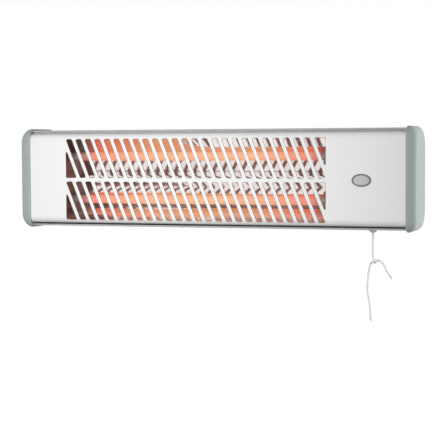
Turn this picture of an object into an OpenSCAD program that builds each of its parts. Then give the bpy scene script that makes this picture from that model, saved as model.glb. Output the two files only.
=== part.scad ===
// Wall-mounted electric bar heater: two quartz tube elements glow behind a punched front panel,
// and a cord switch hangs below the right-hand end.
// Millimetres. X runs along the heater, +Y goes into the wall and +Z is up.
// The origin is the centre of the wall plate's back face, where it meets the wall.

/* [Casing] */
// Overall length over the end caps
body_w = 524; // [440:1:640]
// Depth from the casing's back to the face of the front panel
body_d = 80; // [78:1:110]
// Height of the casing
casing_h = 125.2; // [124:0.2:150]
// Thickness of the casing's steel sheet
sheet_t = 1.2; // [0.8:0.1:1.6]
// Bend radius of the casing's two rear corners
back_r = 17.6; // [8:0.2:20]
// How far the casing's front lips stand behind the panel's face
lip_setback = 9; // [8.6:0.1:12]
// Depth of the hem folded inside each lip
hem_depth = 6; // [3:0.5:9]

/* [Casing vents] */
// Length of an air slot
vent_w = 18; // [10:1:22]
// Width of an air slot
vent_h = 3.6; // [2:0.2:6]
// Pitch of the air slots
vent_pitch = 28; // [24:1:32]
// Least distance from the air slots to the ends of the grille
vent_margin = 20; // [10:1:40]
// Middle of the air slots, behind the panel's face
vent_setback = 40; // [32:1:48]

/* [Front panel] */
// Thickness of the panel's sheet
panel_t = 1; // [0.6:0.1:1.4]
// Shadow gap between the panel and the casing's lips
panel_gap = 1.2; // [0.8:0.1:2]
// Radius of the panel's rolled long edges
panel_edge_r = 4.4; // [2:0.1:4.5]
// Width of the flange that lies against the casing
flange_w = 9; // [5:0.5:12]
// Run of the joggle that carries the flange out to the casing
joggle_run = 3; // [2:0.5:5]

/* [Grille] */
// Plain part of the panel, left of the grille
plain_left_w = 51.4; // [48:0.1:60]
// Plain part of the panel, right of the grille, in front of the switch
plain_right_w = 99.4; // [97:0.1:103]
// Smallest pitch of the slots
slot_pitch = 13.2; // [11:0.1:14]
// Width of a slot, along the row
slot_w = 8; // [4:0.1:9]
// Height of a row of slots
slot_h = 50; // [30:0.5:51]
// Sideways lean of a slot for each millimetre of its height
slot_lean = 0.4; // [0.2:0.01:0.5]
// Corner radius of a slot
slot_r = 1.8; // [0.5:0.1:2.4]
// Plain strip between the two rows
row_gap = 5.2; // [4:0.1:8]
// How far the grille's middle lies below the heater's middle
grille_drop = 1.8; // [0:0.1:2]

/* [End caps] */
// Width of the cap's band on the front
cap_w = 12.6; // [12.4:0.1:20]
// Wall of the cap's rim
cap_rim_t = 2.2; // [1.6:0.1:3]
// Wall of the cap's closed end
cap_end_t = 3; // [2:0.1:4]
// Clearance between the cap and the sheet metal that it slips over
cap_fit = 0.2; // [0.1:0.05:0.3]
// How far the rim reaches over the casing's end
cap_grip = 1.6; // [1:0.1:3]
// Corner radius of the cap, seen from the front
cap_corner_r = 12; // [6:0.5:12]
// Corner radius of the cap's front corners, seen from the end
cap_front_r = 12; // [11.5:0.1:12.5]
// Edge radius between the cap's end and its front
cap_edge_r = 4; // [2:0.5:4]
// Length of the tongue that slips inside the casing
tongue_l = 10; // [6:0.5:14]
// Wall of the tongue
tongue_t = 1.8; // [1.2:0.1:2.4]
// Clearance between the tongue and the panel
tongue_fit = 0.3; // [0.2:0.05:0.5]
// Height of a cap screw from the heater's middle
cap_screw_z = 40; // [30:1:42]
// Radius of a screw boss in the cap
cap_boss_r = 4; // [3:0.1:4.5]
// Length of a screw boss in the cap
cap_boss_l = 15; // [11:0.5:20]

/* [Elements] */
// Outer diameter of a quartz tube
tube_d = 11; // [9:0.1:12]
// Bore of a quartz tube
tube_bore_d = 8.6; // [8.2:0.1:8.8]
// Height between the two tubes' axes
tube_rise = 56; // [50:0.5:60]
// Depth of the tubes' axes behind the panel's face
tube_setback = 32; // [30:0.5:34]
// Outer diameter of the heating coil
coil_d = 7.6; // [6:0.1:7.8]
// Diameter of the coil's resistance wire
coil_wire_d = 1; // [0.8:0.1:1.2]
// Length of cold tube at each end of the reflector
coil_cold = 27; // [15:0.5:60]
// Diameter of a tube's ceramic end cap
ceramic_d = 15; // [13:0.5:18]
// Length of a ceramic end cap
ceramic_l = 14; // [12:0.5:15]
// Depth of the socket that takes the tube's end
ceramic_socket = 6; // [4:0.5:8]
// Diameter of a terminal pin
pin_d = 4; // [3:0.1:5]

/* [Reflector] */
// How far the reflector runs past each end of the grille
reflector_reach = 10; // [8:0.5:11]
// Thickness of the reflector's sheet
reflector_t = 0.5; // [0.4:0.1:0.8]
// Clearance between the element supports and the inside of the panel's rolled edges
support_clear = 2.3; // [1.8:0.1:3]
// Width of each flat front lip
reflector_lip = 15.3; // [14.5:0.1:16]
// Depth of the bend in the upper wing behind the panel's face
upper_wing_depth = 28.3; // [28:0.1:28.8]
// Height of the bend in the upper wing from the heater's middle
upper_wing_z = 48.5; // [48:0.1:49]
// Depths of the upper trough's outer and inner bends behind the panel's face
upper_trough_depth = [41.2, 41.7]; // [41:0.1:42]
// Heights of the upper trough's outer and inner bends from the heater's middle
upper_trough_z = [37.9, 15.9]; // [14:0.1:39]
// Depth of the ridge between the troughs behind the panel's face
ridge_depth = 34.3; // [33:0.1:36]
// Depth of the bend in the lower wing behind the panel's face
lower_wing_depth = 24.6; // [24:0.1:25]
// Distance of the bend in the lower wing below the heater's middle
lower_wing_z = 51.7; // [51.5:0.1:52]
// Depth where the lower wing steps down into the trough
lower_step_depth = 37.4; // [37:0.1:38]
// Distance of that step below the heater's middle
lower_step_z = 40.3; // [40:0.1:41]
// Depths of the lower trough's outer and inner bends behind the panel's face
lower_trough_depth = [43.6, 41.2]; // [41:0.1:44]
// Distances of the lower trough's outer and inner bends below the heater's middle
lower_trough_z = [35.7, 14.2]; // [14:0.1:36]

/* [Element supports] */
// Thickness of an element support
support_t = 1.2; // [1:0.1:1.6]
// Width of a support's foot
foot_w = 12; // [10:0.5:14]
// Radius of the screws that hold the feet
foot_screw_r = 1.75; // [1.5:0.05:2]
// Height of a foot screw from the heater's middle
foot_screw_z = 36; // [30:1:40]

/* [Heat shield] */
// Distance of the shield that screens the switch from the heater's right-hand end
shield_inset = 74; // [72:0.5:75]
// Radius of the wire hole in the shield
shield_hole_r = 7; // [6:0.5:9]

/* [Cord switch] */
// Distance of the cord from the heater's right-hand end
cord_inset = 61; // [58:0.5:62]
// Depth of the cord behind the panel's face
cord_setback = 40; // [38:0.5:42]
// Diameter of the cord
cord_d = 2.6; // [2:0.1:2.6]
// Radius of the drum at the middle of the cord wound on it
drum_r = 8; // [7:0.1:8.4]
// Height of the drum's axle below the heater's middle
drum_drop = 38; // [36:0.5:40]
// Radius of the drum's flanges
drum_flange_r = 10; // [9.8:0.1:11]
// Outer radius of the switch housing
switch_r = 15; // [14.6:0.1:16]
// Wall of the switch housing and its cover
switch_wall = 1.5; // [1.2:0.1:1.8]
// Depth of the switch housing
switch_d = 18; // [18:0.5:20]
// Diameter of the switch axle
axle_d = 4; // [3:0.1:4.4]
// Running clearance of the drum and the rotor on the axle
axle_fit = 0.05; // [0.03:0.01:0.08]
// Radius of the contact rotor
rotor_r = 9; // [7:0.1:9.6]
// Radius of the threaded neck
neck_r = 3.6; // [3.4:0.1:4]
// Radius of the cord's passage through the neck
neck_bore_r = 2; // [1.8:0.05:2.2]
// Height of the bell-mouthed bush under the casing
bush_h = 4.4; // [3.6:0.1:6]
// Radius of the bush where it meets the casing
bush_r = 5.4; // [5:0.1:6.5]

/* [Badge] */
// Distance of the oval badge from the heater's right-hand end
badge_inset = 67.2; // [56:0.1:72]
// Height of the oval badge below the heater's middle
badge_drop = 1.4; // [-10:0.1:10]
// Width of the oval badge
badge_w = 24; // [20:0.5:30]
// Height of the oval badge
badge_h = 16; // [12:0.5:20]
// How far the badge's rim stands off the panel
badge_t = 1.6; // [1:0.1:2.4]
// Width of the badge's rim
badge_rim = 1.8; // [1:0.1:2.4]

/* [Wiring] */
// Length of the terminal block
block_w = 32; // [28:1:34]
// Height of the terminal block
block_h = 16; // [14:0.5:18]
// Depth of the terminal block
block_d = 14; // [12:0.5:16]
// Distance of the terminal block and the cable entry from the heater's right-hand end
entry_inset = 40; // [39:0.5:42]
// Height of the cable entry below the heater's middle
entry_drop = 12; // [10:0.5:14]
// Radius of the cable entry's bore
entry_r = 3.75; // [3:0.05:4]
// Diameter of an insulated lead
lead_d = 2.4; // [2:0.1:2.6]

/* [Wall bracket] */
// Length of the wall plate
plate_w = 240; // [220:1:300]
// Height of the wall plate
plate_h = 44; // [40:1:60]
// Thickness of the wall bracket
plate_t = 2; // [1.5:0.1:3]
// Distance between the two wall screws
wall_hole_gap = 160; // [120:1:170]
// Diameter of a wall screw hole
wall_hole_d = 5; // [4:0.1:6]
// Distance from the wall to the casing's back
wall_gap = 34; // [33:0.5:60]
// Distance from the wall to the tilt axis
pivot_gap = 20; // [18:0.5:21]
// Height of the heater's middle above the tilt axis
body_rise = 20; // [12:0.5:24]
// Radius of the rounded ears
ear_r = 11; // [9:0.5:12]
// Thickness of the tilt bracket
tilt_t = 1.5; // [1.2:0.1:2]
// Height of the tilt bracket's plate
tilt_h = 36; // [34:0.5:44]
// Thickness of the washers between the ears
washer_t = 1; // [0.8:0.1:1.5]
// Radius of the pivot screws
pivot_r = 2.5; // [2:0.05:3]
// Running clearance of the tilt ears on the pivot screws
pivot_fit = 0.06; // [0.04:0.01:0.09]

/* [Hidden] */
$fn = 48;
arc_steps = 8;
slot_steps = 3;
hole_fit = 0.15;      // clearance of a screw in a plain hole
thread_fit = 0.05;    // clearance of a screw in a nut or a tapped hole
through = 1;          // how far a cutting tool passes the faces that it cuts
half_h = casing_h / 2;
front = -body_d;
lip_y = front + lip_setback;
hem_end = lip_y + hem_depth;
cap_rim_x = body_w / 2 - cap_w;
casing_x = cap_rim_x + cap_grip;
panel_half = half_h - 2 * sheet_t - panel_gap;
panel_flat = panel_half - panel_edge_r;
grille_w = 2 * cap_rim_x - plain_left_w - plain_right_w;
grille_x = (plain_left_w - plain_right_w) / 2;
grille_x0 = grille_x - grille_w / 2;
slot_foot = slot_lean * slot_h;
slot_run = grille_w - slot_w - slot_foot;
slot_count = 1 + floor(slot_run / slot_pitch);
slot_step = slot_run / (slot_count - 1);
vent_count = floor((grille_w - 2 * vent_margin + vent_pitch - vent_w) / vent_pitch);
row_tops = [slot_h + row_gap / 2 - grille_drop, -row_gap / 2 - grille_drop];
tube_y = front + tube_setback;
tube_zs = [tube_rise / 2, -tube_rise / 2];
reflector_l = grille_w + 2 * reflector_reach;
support_half = panel_half - panel_t - support_clear;
reflector_half = support_half - support_t - reflector_t;
reflector_x = [grille_x - reflector_l / 2, grille_x + reflector_l / 2];
support_faces = [reflector_x[0] - support_t, reflector_x[1] + support_t];
tube_slack = 0.4;
coil_l = reflector_l - 2 * coil_cold;
tab_w = 12;
tab_d = 12;
inner_back = -sheet_t;
cord_x = body_w / 2 - cord_inset;
cord_y = front + cord_setback;
shield_x = body_w / 2 - shield_inset;
badge_x = body_w / 2 - badge_inset;
entry_x = body_w / 2 - entry_inset;
drum_x = cord_x + drum_r;
drum_z = -drum_drop;
switch_back = cord_y + switch_d / 2;
switch_front = cord_y - switch_d / 2;
floor_z = -half_h;
neck_end_z = floor_z - 0.7 * bush_h;
mouth_z = floor_z - bush_h;
pivot_z = -body_rise;
pivot_y = wall_gap - pivot_gap;
tilt_ear_x = plate_w / 2 - plate_t - washer_t;
entry_z = -entry_drop;

// Sizes that several pieces share
element_clear = 5;               // from the panel's face to the front edges behind it
reflector_y = front + element_clear;
reflector_line = [
    [reflector_y, reflector_half],
    [reflector_y + reflector_lip, reflector_half],
    [front + upper_wing_depth, upper_wing_z],
    [front + upper_trough_depth[0], upper_trough_z[0]],
    [front + upper_trough_depth[1], upper_trough_z[1]],
    [front + ridge_depth, 0],
    [front + lower_trough_depth[1], -lower_trough_z[1]],
    [front + lower_trough_depth[0], -lower_trough_z[0]],
    [front + lower_step_depth, -lower_step_z],
    [front + lower_wing_depth, -lower_wing_z],
    [reflector_y + reflector_lip, -reflector_half],
    [reflector_y, -reflector_half]];
reflector_radii = [3.5, 57, 21, 31.8, 13.3, 31.9, 3, 15.2, 33, 3.5];
cap_screw_r = 1.5;
cap_screw_x = casing_x - 5;      // 5 mm from the casing's end to the middle of a cap screw
nut_h = 3;
bracket_screw_r = 2;
bracket_hole_edge = 7;           // from the tilt bracket's edge to the screws that hold it
bracket_hole_x = tilt_ear_x - 27; // the screws stand 27 mm in from the ears
bracket_hole_z = tilt_h / 2 - bracket_hole_edge;
pivot_nut_h = 4;
rivet_r = 1.6;
rivet_head = [1.5 * rivet_r, 0.6];   // radius and height of a rivet's head
rivet_tail = [1.75 * rivet_r, 0.9];  // radius and height of its closed end
rivet_y = reflector_y + reflector_lip / 2;
peg_r = 0.8;
peg_x = badge_w / 2 - badge_rim / 2;
ceramic_end = reflector_l / 2 + support_t + ceramic_l;
pin_tip = 2;                     // length of pin that shows past its nut
pin_end = ceramic_end + nut_h + pin_tip;
pin_flange_t = 1.2;
shield_hole_y = front + 50;      // depth of the wire hole's middle
switch_cavity_r = switch_r - switch_wall;
contact_x = rotor_r + 2;
contact_t = 0.8;
contact_w = 4;
tab_y = switch_back + 4;         // ends of the contact blades behind the switch
lug_r = 3.2;
lug_x = switch_r + lug_r / 2;
small_screw_r = 1.25;
foot_tail = 8;                   // length of a foot past its screw
thread_l = 5;                    // thread engaged in plastic
block_y = inner_back - block_d;
block_z = entry_z + 28;
way_pitch = 10;
way_r = 2;
clamp_z = entry_z + 16;
clamp_x = 11;
clamp_t = 2.5;
clamp_w = 8;
clamp_pad = 3.5;                 // from a clamp screw to the clamp's end, and to its arch
earth_z = block_z + block_h + 8.5;
earth_tip = 8;
grommet_wall = 2;
grommet_flange = 2.2;
wall_plate_r = 6;
tilt_plate_r = 4;
cord_r = cord_d / 2;
wrap_end = 1;                    // slack between the wound cord and the straight cord

// Routes, in the heater's own frame. The cord's are measured from the mouth of its bush.
pull_route = [[0, 0, -cord_r], [0, 0, -8], [0, 0, -16], [0, 0, -24], [0, 0, -33]];
tail_short_route = [[4, 0, -35.5], [9, 0, -35.5], [14.5, 0, -41.5], [18.5, 0, -50], [24.5, 0, -58]];
tail_long_route = [[0.5, 0, -36.5], [-2.5, 0, -38.5], [-5, 0, -47], [-6.5, 0, -59.5],
    [-7, 0, -73.5], [-4, 0, -91], [-2.5, 0, -111]];
knot_centre = [2, 0, -36];
knot_r = 3.2;
knot_h = 7.6;

function unit(v) = v / norm(v);
function turned(v) = [-v.y, v.x];

// Points along an arc, from angle a0 to a1
function arc(c, r, a0, a1, n = arc_steps) =
    [for (i = [0:n]) c + r * [cos(a0 + (a1 - a0) * i / n), sin(a0 + (a1 - a0) * i / n)]];

// Points of the arc that rounds corner b of the line a-b-c
function corner(a, b, c, r, n = arc_steps) =
    r <= 0 ? [b] :
    let (
        u = unit(a - b),
        v = unit(c - b),
        half = acos(u * v) / 2,
        reach = r / tan(half),
        centre = b + unit(u + v) * r / sin(half),
        p = b + u * reach - centre,
        q = b + v * reach - centre,
        a0 = atan2(p.y, p.x),
        turn = atan2(q.y, q.x) - a0,
        sweep = turn > 180 ? turn - 360 : turn < -180 ? turn + 360 : turn)
    arc(centre, r, a0, a0 + sweep, n);

// Closed outline whose corners are rounded by their own radii
function outline(pts, radii, n = arc_steps) = let (m = len(pts))
    [for (i = [0:m - 1]) each corner(pts[(i + m - 1) % m], pts[i], pts[(i + 1) % m], radii[i], n)];

// Open line whose inner corners are rounded
function bend_line(pts, radii) = let (m = len(pts))
    [pts[0], for (i = [1:m - 2]) each corner(pts[i - 1], pts[i], pts[i + 1], radii[i - 1]),
        pts[m - 1]];

// Offset direction at point i of a line: the mitre of the two neighbouring segments
function mitre(line, i) = let (
        m = len(line),
        before = turned(unit(line[max(i, 1)] - line[max(i, 1) - 1])),
        after = turned(unit(line[min(i, m - 2) + 1] - line[min(i, m - 2)])))
    (before + after) / (1 + before * after);

// Section of a bent sheet that lies to the left of a line
function sheet(line, t) =
    concat(line, [for (i = [len(line) - 1:-1:0]) line[i] + t * mitre(line, i)]);

// Rectangle from a low to a high corner, its corners rounded by r
function box_outline(low, high, r) =
    outline([low, [high.x, low.y], high, [low.x, high.y]], [r, r, r, r]);

function ellipse(a, b, n = 40) = [for (i = [0:n - 1]) [a * cos(360 * i / n), b * sin(360 * i / n)]];

// Smooth line through points, with n steps between neighbours
function spline(p, n) = let (m = len(p))
    [for (i = [0:m - 2]) for (k = [0:n - 1]) let (
            t = k / n,
            a = i == 0 ? 2 * p[0] - p[1] : p[i - 1],
            d = i == m - 2 ? 2 * p[m - 1] - p[m - 2] : p[i + 2])
        ((2 * p[i]) + (p[i + 1] - a) * t + (2 * a - 5 * p[i] + 4 * p[i + 1] - d) * t * t
            + (3 * p[i] - a - 3 * p[i + 1] + d) * t * t * t) / 2,
        p[m - 1]];

// Direction of a line at point i; its ends follow their first and last segment
function heading(p, i) = unit(p[min(i + 1, len(p) - 1)] - p[max(i - 1, 0)]);

// Side directions carried along a line without twist
function carried(p, i, u) = i == len(p) ? [] :
    let (t = heading(p, i), v = unit(u - (u * t) * t)) concat([v], carried(p, i + 1, v));

// Round tube swept along a line. radii holds one radius for each point.
module tube(p, radii, side, sides = 8) {
    n = len(p);
    us = carried(p, 0, side);
    rings = [for (i = [0:n - 1]) let (v = cross(heading(p, i), us[i]))
        for (j = [0:sides - 1])
            p[i] + radii[i] * (cos(360 * j / sides) * us[i] + sin(360 * j / sides) * v)];
    faces = concat(
        [for (j = [1:sides - 2]) [0, j, j + 1]],
        [for (j = [1:sides - 2]) (n - 1) * sides * [1, 1, 1] + [0, j + 1, j]],
        [for (i = [0:n - 2]) for (j = [0:sides - 1]) let (k = (j + 1) % sides)
            each [[i * sides + j, (i + 1) * sides + j, i * sides + k],
                [i * sides + k, (i + 1) * sides + j, (i + 1) * sides + k]]]);
    polyhedron(points = rings, faces = faces, convexity = 6);
}

module plain_tube(p, r, side, steps = 2) {
    line = spline(p, steps);
    tube(line, [for (q = line) r], side);
}

// The heater's own frame: y = 0 at the casing's back, z = 0 at its middle
module on_body() { translate([0, -wall_gap, body_rise]) children(); }

// Extrusions of an outline in the (y, z), (x, z) and (x, y) planes
module along_x(x0, x1) { translate([x0, 0, 0]) rotate([90, 0, 90]) linear_extrude(x1 - x0) children(); }
module along_y(y0, y1) { translate([0, y1, 0]) rotate([90, 0, 0]) linear_extrude(y1 - y0) children(); }
module along_z(z0, z1) { translate([0, 0, z0]) linear_extrude(z1 - z0) children(); }

module rod_x(r, x0, x1, y, z) { translate([x0, y, z]) rotate([0, 90, 0]) cylinder(r = r, h = x1 - x0); }
module rod_y(r, x, y0, y1, z) { translate([x, y0, z]) rotate([-90, 0, 0]) cylinder(r = r, h = y1 - y0); }
module rod_z(r, x, y, z0, z1) { translate([x, y, z0]) cylinder(r = r, h = z1 - z0); }

// Turns that point a fastener's +Z along +X or -X, and along +Y or -Y
module toward_x(s) { rotate([0, 90 * s, 0]) children(); }
module toward_y(s) { rotate([-90 * s, 0, 0]) children(); }

// Pan-head screw: its head seats on z = 0 and its shank goes down
module pan_screw(r, length) {
    head_r = 1.9 * r;
    head_h = 1.2 * r;
    rotate_extrude() polygon([[0, -length], [0.7 * r, -length], [r, -length + 0.5 * r], [r, 0],
        [head_r, 0], [head_r, 0.5 * head_h], [0.75 * head_r, head_h], [0, head_h]]);
}

// Hexagon nut on z = 0, with its bore
module hex_nut(r, h) {
    difference() {
        cylinder(r = 2 * r, h = h, $fn = 6);
        translate([0, 0, -through]) cylinder(r = r + thread_fit, h = h + 2 * through);
    }
}

// Wall bracket ---------------------------------------------------------------

module wall_bracket() {
    color("silver") difference() {
        union() {
            along_y(-plate_t, 0)
                polygon(box_outline([-plate_w / 2, -plate_h / 2], [plate_w / 2, plate_h / 2], wall_plate_r));
            for (x = [-plate_w / 2, plate_w / 2 - plate_t])
                along_x(x, x + plate_t) polygon([[0, -ear_r],
                    each arc([-pivot_gap, 0], ear_r, 270, 90, 2 * arc_steps), [0, ear_r]]);
        }
        for (s = [-1, 1]) rod_y(wall_hole_d / 2, s * wall_hole_gap / 2, -plate_t - through, through, 0);
        rod_x(pivot_r + hole_fit, -plate_w / 2 - through, plate_w / 2 + through, -pivot_gap, 0);
    }
}

module pivot_screws() {
    length = plate_t + 2 * washer_t + tilt_t + pivot_nut_h + through;
    color("dimgray") for (s = [-1, 1]) translate([s * plate_w / 2, -pivot_gap, 0])
        toward_x(s) pan_screw(pivot_r, length);
}

module pivot_washers() {
    inner = tilt_ear_x - tilt_t - washer_t;
    color("white") for (m = [0, 1]) mirror([m, 0, 0]) for (x = [tilt_ear_x, inner]) difference() {
        rod_x(2 * pivot_r, x, x + washer_t, -pivot_gap, 0);
        rod_x(pivot_r + hole_fit, x - through, x + washer_t + through, -pivot_gap, 0);
    }
}

module pivot_nuts() {
    face = tilt_ear_x - tilt_t - washer_t - pivot_nut_h;
    color("gray") for (s = [-1, 1]) translate([s * face, -pivot_gap, 0])
        toward_x(s) hex_nut(pivot_r, pivot_nut_h);
}

module tilt_bracket() {
    color("silver") on_body() difference() {
        union() {
            along_y(0, tilt_t) polygon(box_outline([-tilt_ear_x, pivot_z - tilt_h / 2],
                [tilt_ear_x, pivot_z + tilt_h / 2], tilt_plate_r));
            for (x = [-tilt_ear_x, tilt_ear_x - tilt_t])
                along_x(x, x + tilt_t) polygon([[0, pivot_z + ear_r],
                    each arc([pivot_y, pivot_z], ear_r, 90, -90, 2 * arc_steps), [0, pivot_z - ear_r]]);
        }
        rod_x(pivot_r + pivot_fit, -tilt_ear_x - through, tilt_ear_x + through, pivot_y, pivot_z);
        bracket_holes(-through, tilt_t + through);
    }
}

module bracket_holes(y0, y1) {
    for (x = [-bracket_hole_x, bracket_hole_x]) for (z = [-bracket_hole_z, bracket_hole_z])
        rod_y(bracket_screw_r + hole_fit, x, y0, y1, pivot_z + z);
}

module bracket_screws() {
    length = tilt_t + sheet_t + nut_h + through;
    color("dimgray") on_body()
        for (x = [-bracket_hole_x, bracket_hole_x]) for (z = [-bracket_hole_z, bracket_hole_z])
            translate([x, tilt_t, pivot_z + z]) toward_y(1) pan_screw(bracket_screw_r, length);
}

module bracket_nuts() {
    color("gray") on_body()
        for (x = [-bracket_hole_x, bracket_hole_x]) for (z = [-bracket_hole_z, bracket_hole_z])
            translate([x, inner_back, pivot_z + z]) toward_y(-1) hex_nut(bracket_screw_r, nut_h);
}

// Casing ---------------------------------------------------------------------

casing_outline = let (
        h = half_h,
        t = sheet_t,
        fold = 0.95 * sheet_t)
    outline([[lip_y, h], [0, h], [0, -h], [lip_y, -h], [lip_y, -h + 2 * t], [hem_end, -h + 2 * t],
            [hem_end, -h + t], [-t, -h + t], [-t, h - t], [hem_end, h - t], [hem_end, h - 2 * t],
            [lip_y, h - 2 * t]],
        [fold, back_r, back_r, fold, fold, 0, 0, back_r - t, back_r - t, 0, 0, fold]);

module rear_casing() {
    color("whitesmoke") on_body() difference() {
        along_x(-casing_x, casing_x) polygon(casing_outline);
        bracket_holes(inner_back - through, through);
        for (x = [-cap_screw_x, cap_screw_x]) for (z = [-cap_screw_z, cap_screw_z])
            rod_y(cap_screw_r + hole_fit, x, inner_back - through, through, z);
        for (x = foot_screw_xs) for (z = [-foot_screw_z, foot_screw_z])
            rod_y(foot_screw_r + hole_fit, x, inner_back - through, through, z);
        for (z = [half_h - sheet_t - through, -half_h - through]) vents(z, z + sheet_t + 2 * through);
        rod_y(grommet_neck_r, entry_x, inner_back - through, through, entry_z);
        for (x = block_screw_xs)
            rod_y(small_screw_r + hole_fit, x, inner_back - through, through, block_z + block_h / 2);
        for (x = [-clamp_x, clamp_x])
            rod_y(small_screw_r + thread_fit, entry_x + x, inner_back - through, through, clamp_z);
        rod_y(bracket_screw_r + hole_fit, entry_x, inner_back - through, through, earth_z);
        rod_z(neck_r + hole_fit, cord_x, cord_y, floor_z - through, floor_z + sheet_t + through);
    }
}

foot_screw_xs = [support_faces[0] - foot_w / 2, support_faces[1] + foot_w / 2,
    shield_x + support_t + foot_w / 2];
grommet_neck_r = entry_r + grommet_wall;
block_screw_xs = [entry_x - way_pitch / 2, entry_x + way_pitch / 2];

module vents(z0, z1) {
    for (i = [0:vent_count - 1])
        translate([grille_x + (i - (vent_count - 1) / 2) * vent_pitch, front + vent_setback, 0])
            along_z(z0, z1) polygon(box_outline([-vent_w / 2, -vent_h / 2], [vent_w / 2, vent_h / 2],
                0.45 * vent_h));
}

// Section of the panel's upper edge: from its flange, over the joggle and the rolled edge, to the
// start of the flat face
panel_edge_line = let (
        seat = half_h - sheet_t,
        joggle = hem_end + panel_t)
    concat(
        bend_line([
                [joggle + joggle_run + flange_w, seat],
                [joggle + joggle_run, seat],
                [joggle, panel_half],
                [front + panel_edge_r + 1, panel_half]],
            [2 * panel_t, 2 * panel_t]),
        arc([front + panel_edge_r, panel_flat], panel_edge_r, 90, 180));

// Slots of the grille as outlines: whole leaning slots, and a corner piece at each end of a row
slot_outline = outline([[0, 0], [slot_w, 0], [slot_w + slot_foot, -slot_h], [slot_foot, -slot_h]],
    [slot_r, slot_r, slot_r, slot_r], slot_steps);
corner_w = slot_foot - slot_step + slot_w;
corner_outline = outline([[0, 0], [corner_w, 0], [0, corner_w / slot_lean]],
    [0.8 * slot_r, 0.8 * slot_r, 0.5 * slot_r], slot_steps);
function moved(pts, v, s = 1) = [for (p = pts) s * p + v];
grille_outlines = [for (top = row_tops) each [
    for (i = [0:slot_count - 1]) moved(slot_outline, [grille_x0 + i * slot_step, top]),
    moved(corner_outline, [grille_x0, top - slot_h]),
    moved(corner_outline, [grille_x0 + grille_w, top], -1)]];

// Index lists of several outlines that are joined into one list of points
function path_indices(outlines, i = 0, start = 0) = i == len(outlines) ? [] :
    concat([[for (k = [0:len(outlines[i]) - 1]) start + k]],
        path_indices(outlines, i + 1, start + len(outlines[i])));

module front_panel() {
    face = concat([box_outline([-casing_x, -panel_flat], [casing_x, panel_flat], 0)], grille_outlines);
    color("white") on_body() difference() {
        union() {
            along_y(front, front + panel_t)
                polygon(points = [for (o = face) each o], paths = path_indices(face));
            for (m = [0, 1]) mirror([0, 0, m])
                along_x(-casing_x, casing_x) polygon(sheet(panel_edge_line, panel_t));
        }
        for (s = [-1, 1])
            rod_y(peg_r + thread_fit, badge_x + s * peg_x, front - through, front + panel_t + through,
                -badge_drop);
    }
}

// End caps -------------------------------------------------------------------

// Outline of the space inside a shell, seen from the end: half height, front, back and radii
function end_outline(h, y0, y1, r0, r1) =
    outline([[y0, -h], [y1, -h], [y1, h], [y0, h]], [r0, r1, r1, r0]);

module cap_form() {
    grow = cap_fit + cap_rim_t;
    h = half_h + grow;
    x0 = cap_rim_x;
    x1 = body_w / 2;
    intersection() {
        along_x(x0, x1) polygon(end_outline(h, front - grow, grow, cap_front_r, back_r + grow));
        along_y(front - grow, grow) polygon(outline([[x0, -h], [x1, -h], [x1, h], [x0, h]],
            [0, cap_corner_r, cap_corner_r, 0]));
        along_z(-h, h) polygon(outline([[x0, front - grow], [x1, front - grow], [x1, grow], [x0, grow]],
            [0, cap_edge_r, cap_edge_r, 0]));
    }
}

module tongue_outline(inset) {
    polygon(end_outline(panel_half - panel_t - inset, front + panel_t + inset, inner_back - inset,
        panel_edge_r - panel_t - inset, back_r - sheet_t - inset));
}

module end_cap() {
    boss_y = inner_back - cap_boss_l;
    difference() {
        union() {
            difference() {
                cap_form();
                along_x(cap_rim_x - through, casing_x) polygon(end_outline(half_h + cap_fit,
                    front - cap_fit, cap_fit, cap_front_r - cap_rim_t, back_r + cap_fit));
            }
            along_x(casing_x - tongue_l, casing_x) tongue_outline(tongue_fit);
        }
        difference() {
            along_x(casing_x - tongue_l - through, body_w / 2 - cap_end_t)
                tongue_outline(tongue_fit + tongue_t);
            for (z = [-cap_screw_z, cap_screw_z]) {
                rod_y(cap_boss_r, cap_screw_x, boss_y, 0, z);
                translate([cap_screw_x, boss_y, z - tongue_t / 2])
                    cube([body_w / 2 - cap_screw_x, cap_boss_l, tongue_t]);
            }
        }
        for (z = [-cap_screw_z, cap_screw_z])
            rod_y(cap_screw_r + thread_fit, cap_screw_x, boss_y - through, through, z);
    }
}

module end_cap_left() { color([0.56, 0.61, 0.60]) on_body() mirror([1, 0, 0]) end_cap(); }
module end_cap_right() { color([0.56, 0.61, 0.60]) on_body() end_cap(); }

module cap_screws() {
    color("dimgray") on_body()
        for (x = [-cap_screw_x, cap_screw_x]) for (z = [-cap_screw_z, cap_screw_z])
            translate([x, 0, z]) toward_y(1) pan_screw(cap_screw_r, sheet_t + 0.7 * cap_boss_l);
}

// Elements -------------------------------------------------------------------

module reflector() {
    color("gainsboro") on_body() difference() {
        along_x(reflector_x[0], reflector_x[1])
            polygon(sheet(bend_line(reflector_line, reflector_radii), reflector_t));
        rivet_holes();
    }
}

module rivet_holes() {
    for (x = rivet_xs) rod_z(rivet_r + thread_fit, x, rivet_y, -half_h, half_h);
}

rivet_xs = [reflector_x[0] + tab_d / 2, reflector_x[1] - tab_d / 2];

module reflector_rivets() {
    grip = reflector_t + support_t;
    color("gray") on_body() for (x = rivet_xs) for (s = [0, 1]) mirror([0, 0, s])
        translate([x, rivet_y, reflector_half]) rotate_extrude() polygon([
            [0, -rivet_head.y], [rivet_head.x, -rivet_head.y], [rivet_head.x, 0], [rivet_r, 0],
            [rivet_r, grip], [rivet_tail.x, grip], [rivet_head.x, grip + rivet_tail.y],
            [0, grip + rivet_tail.y]]);
}

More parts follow.
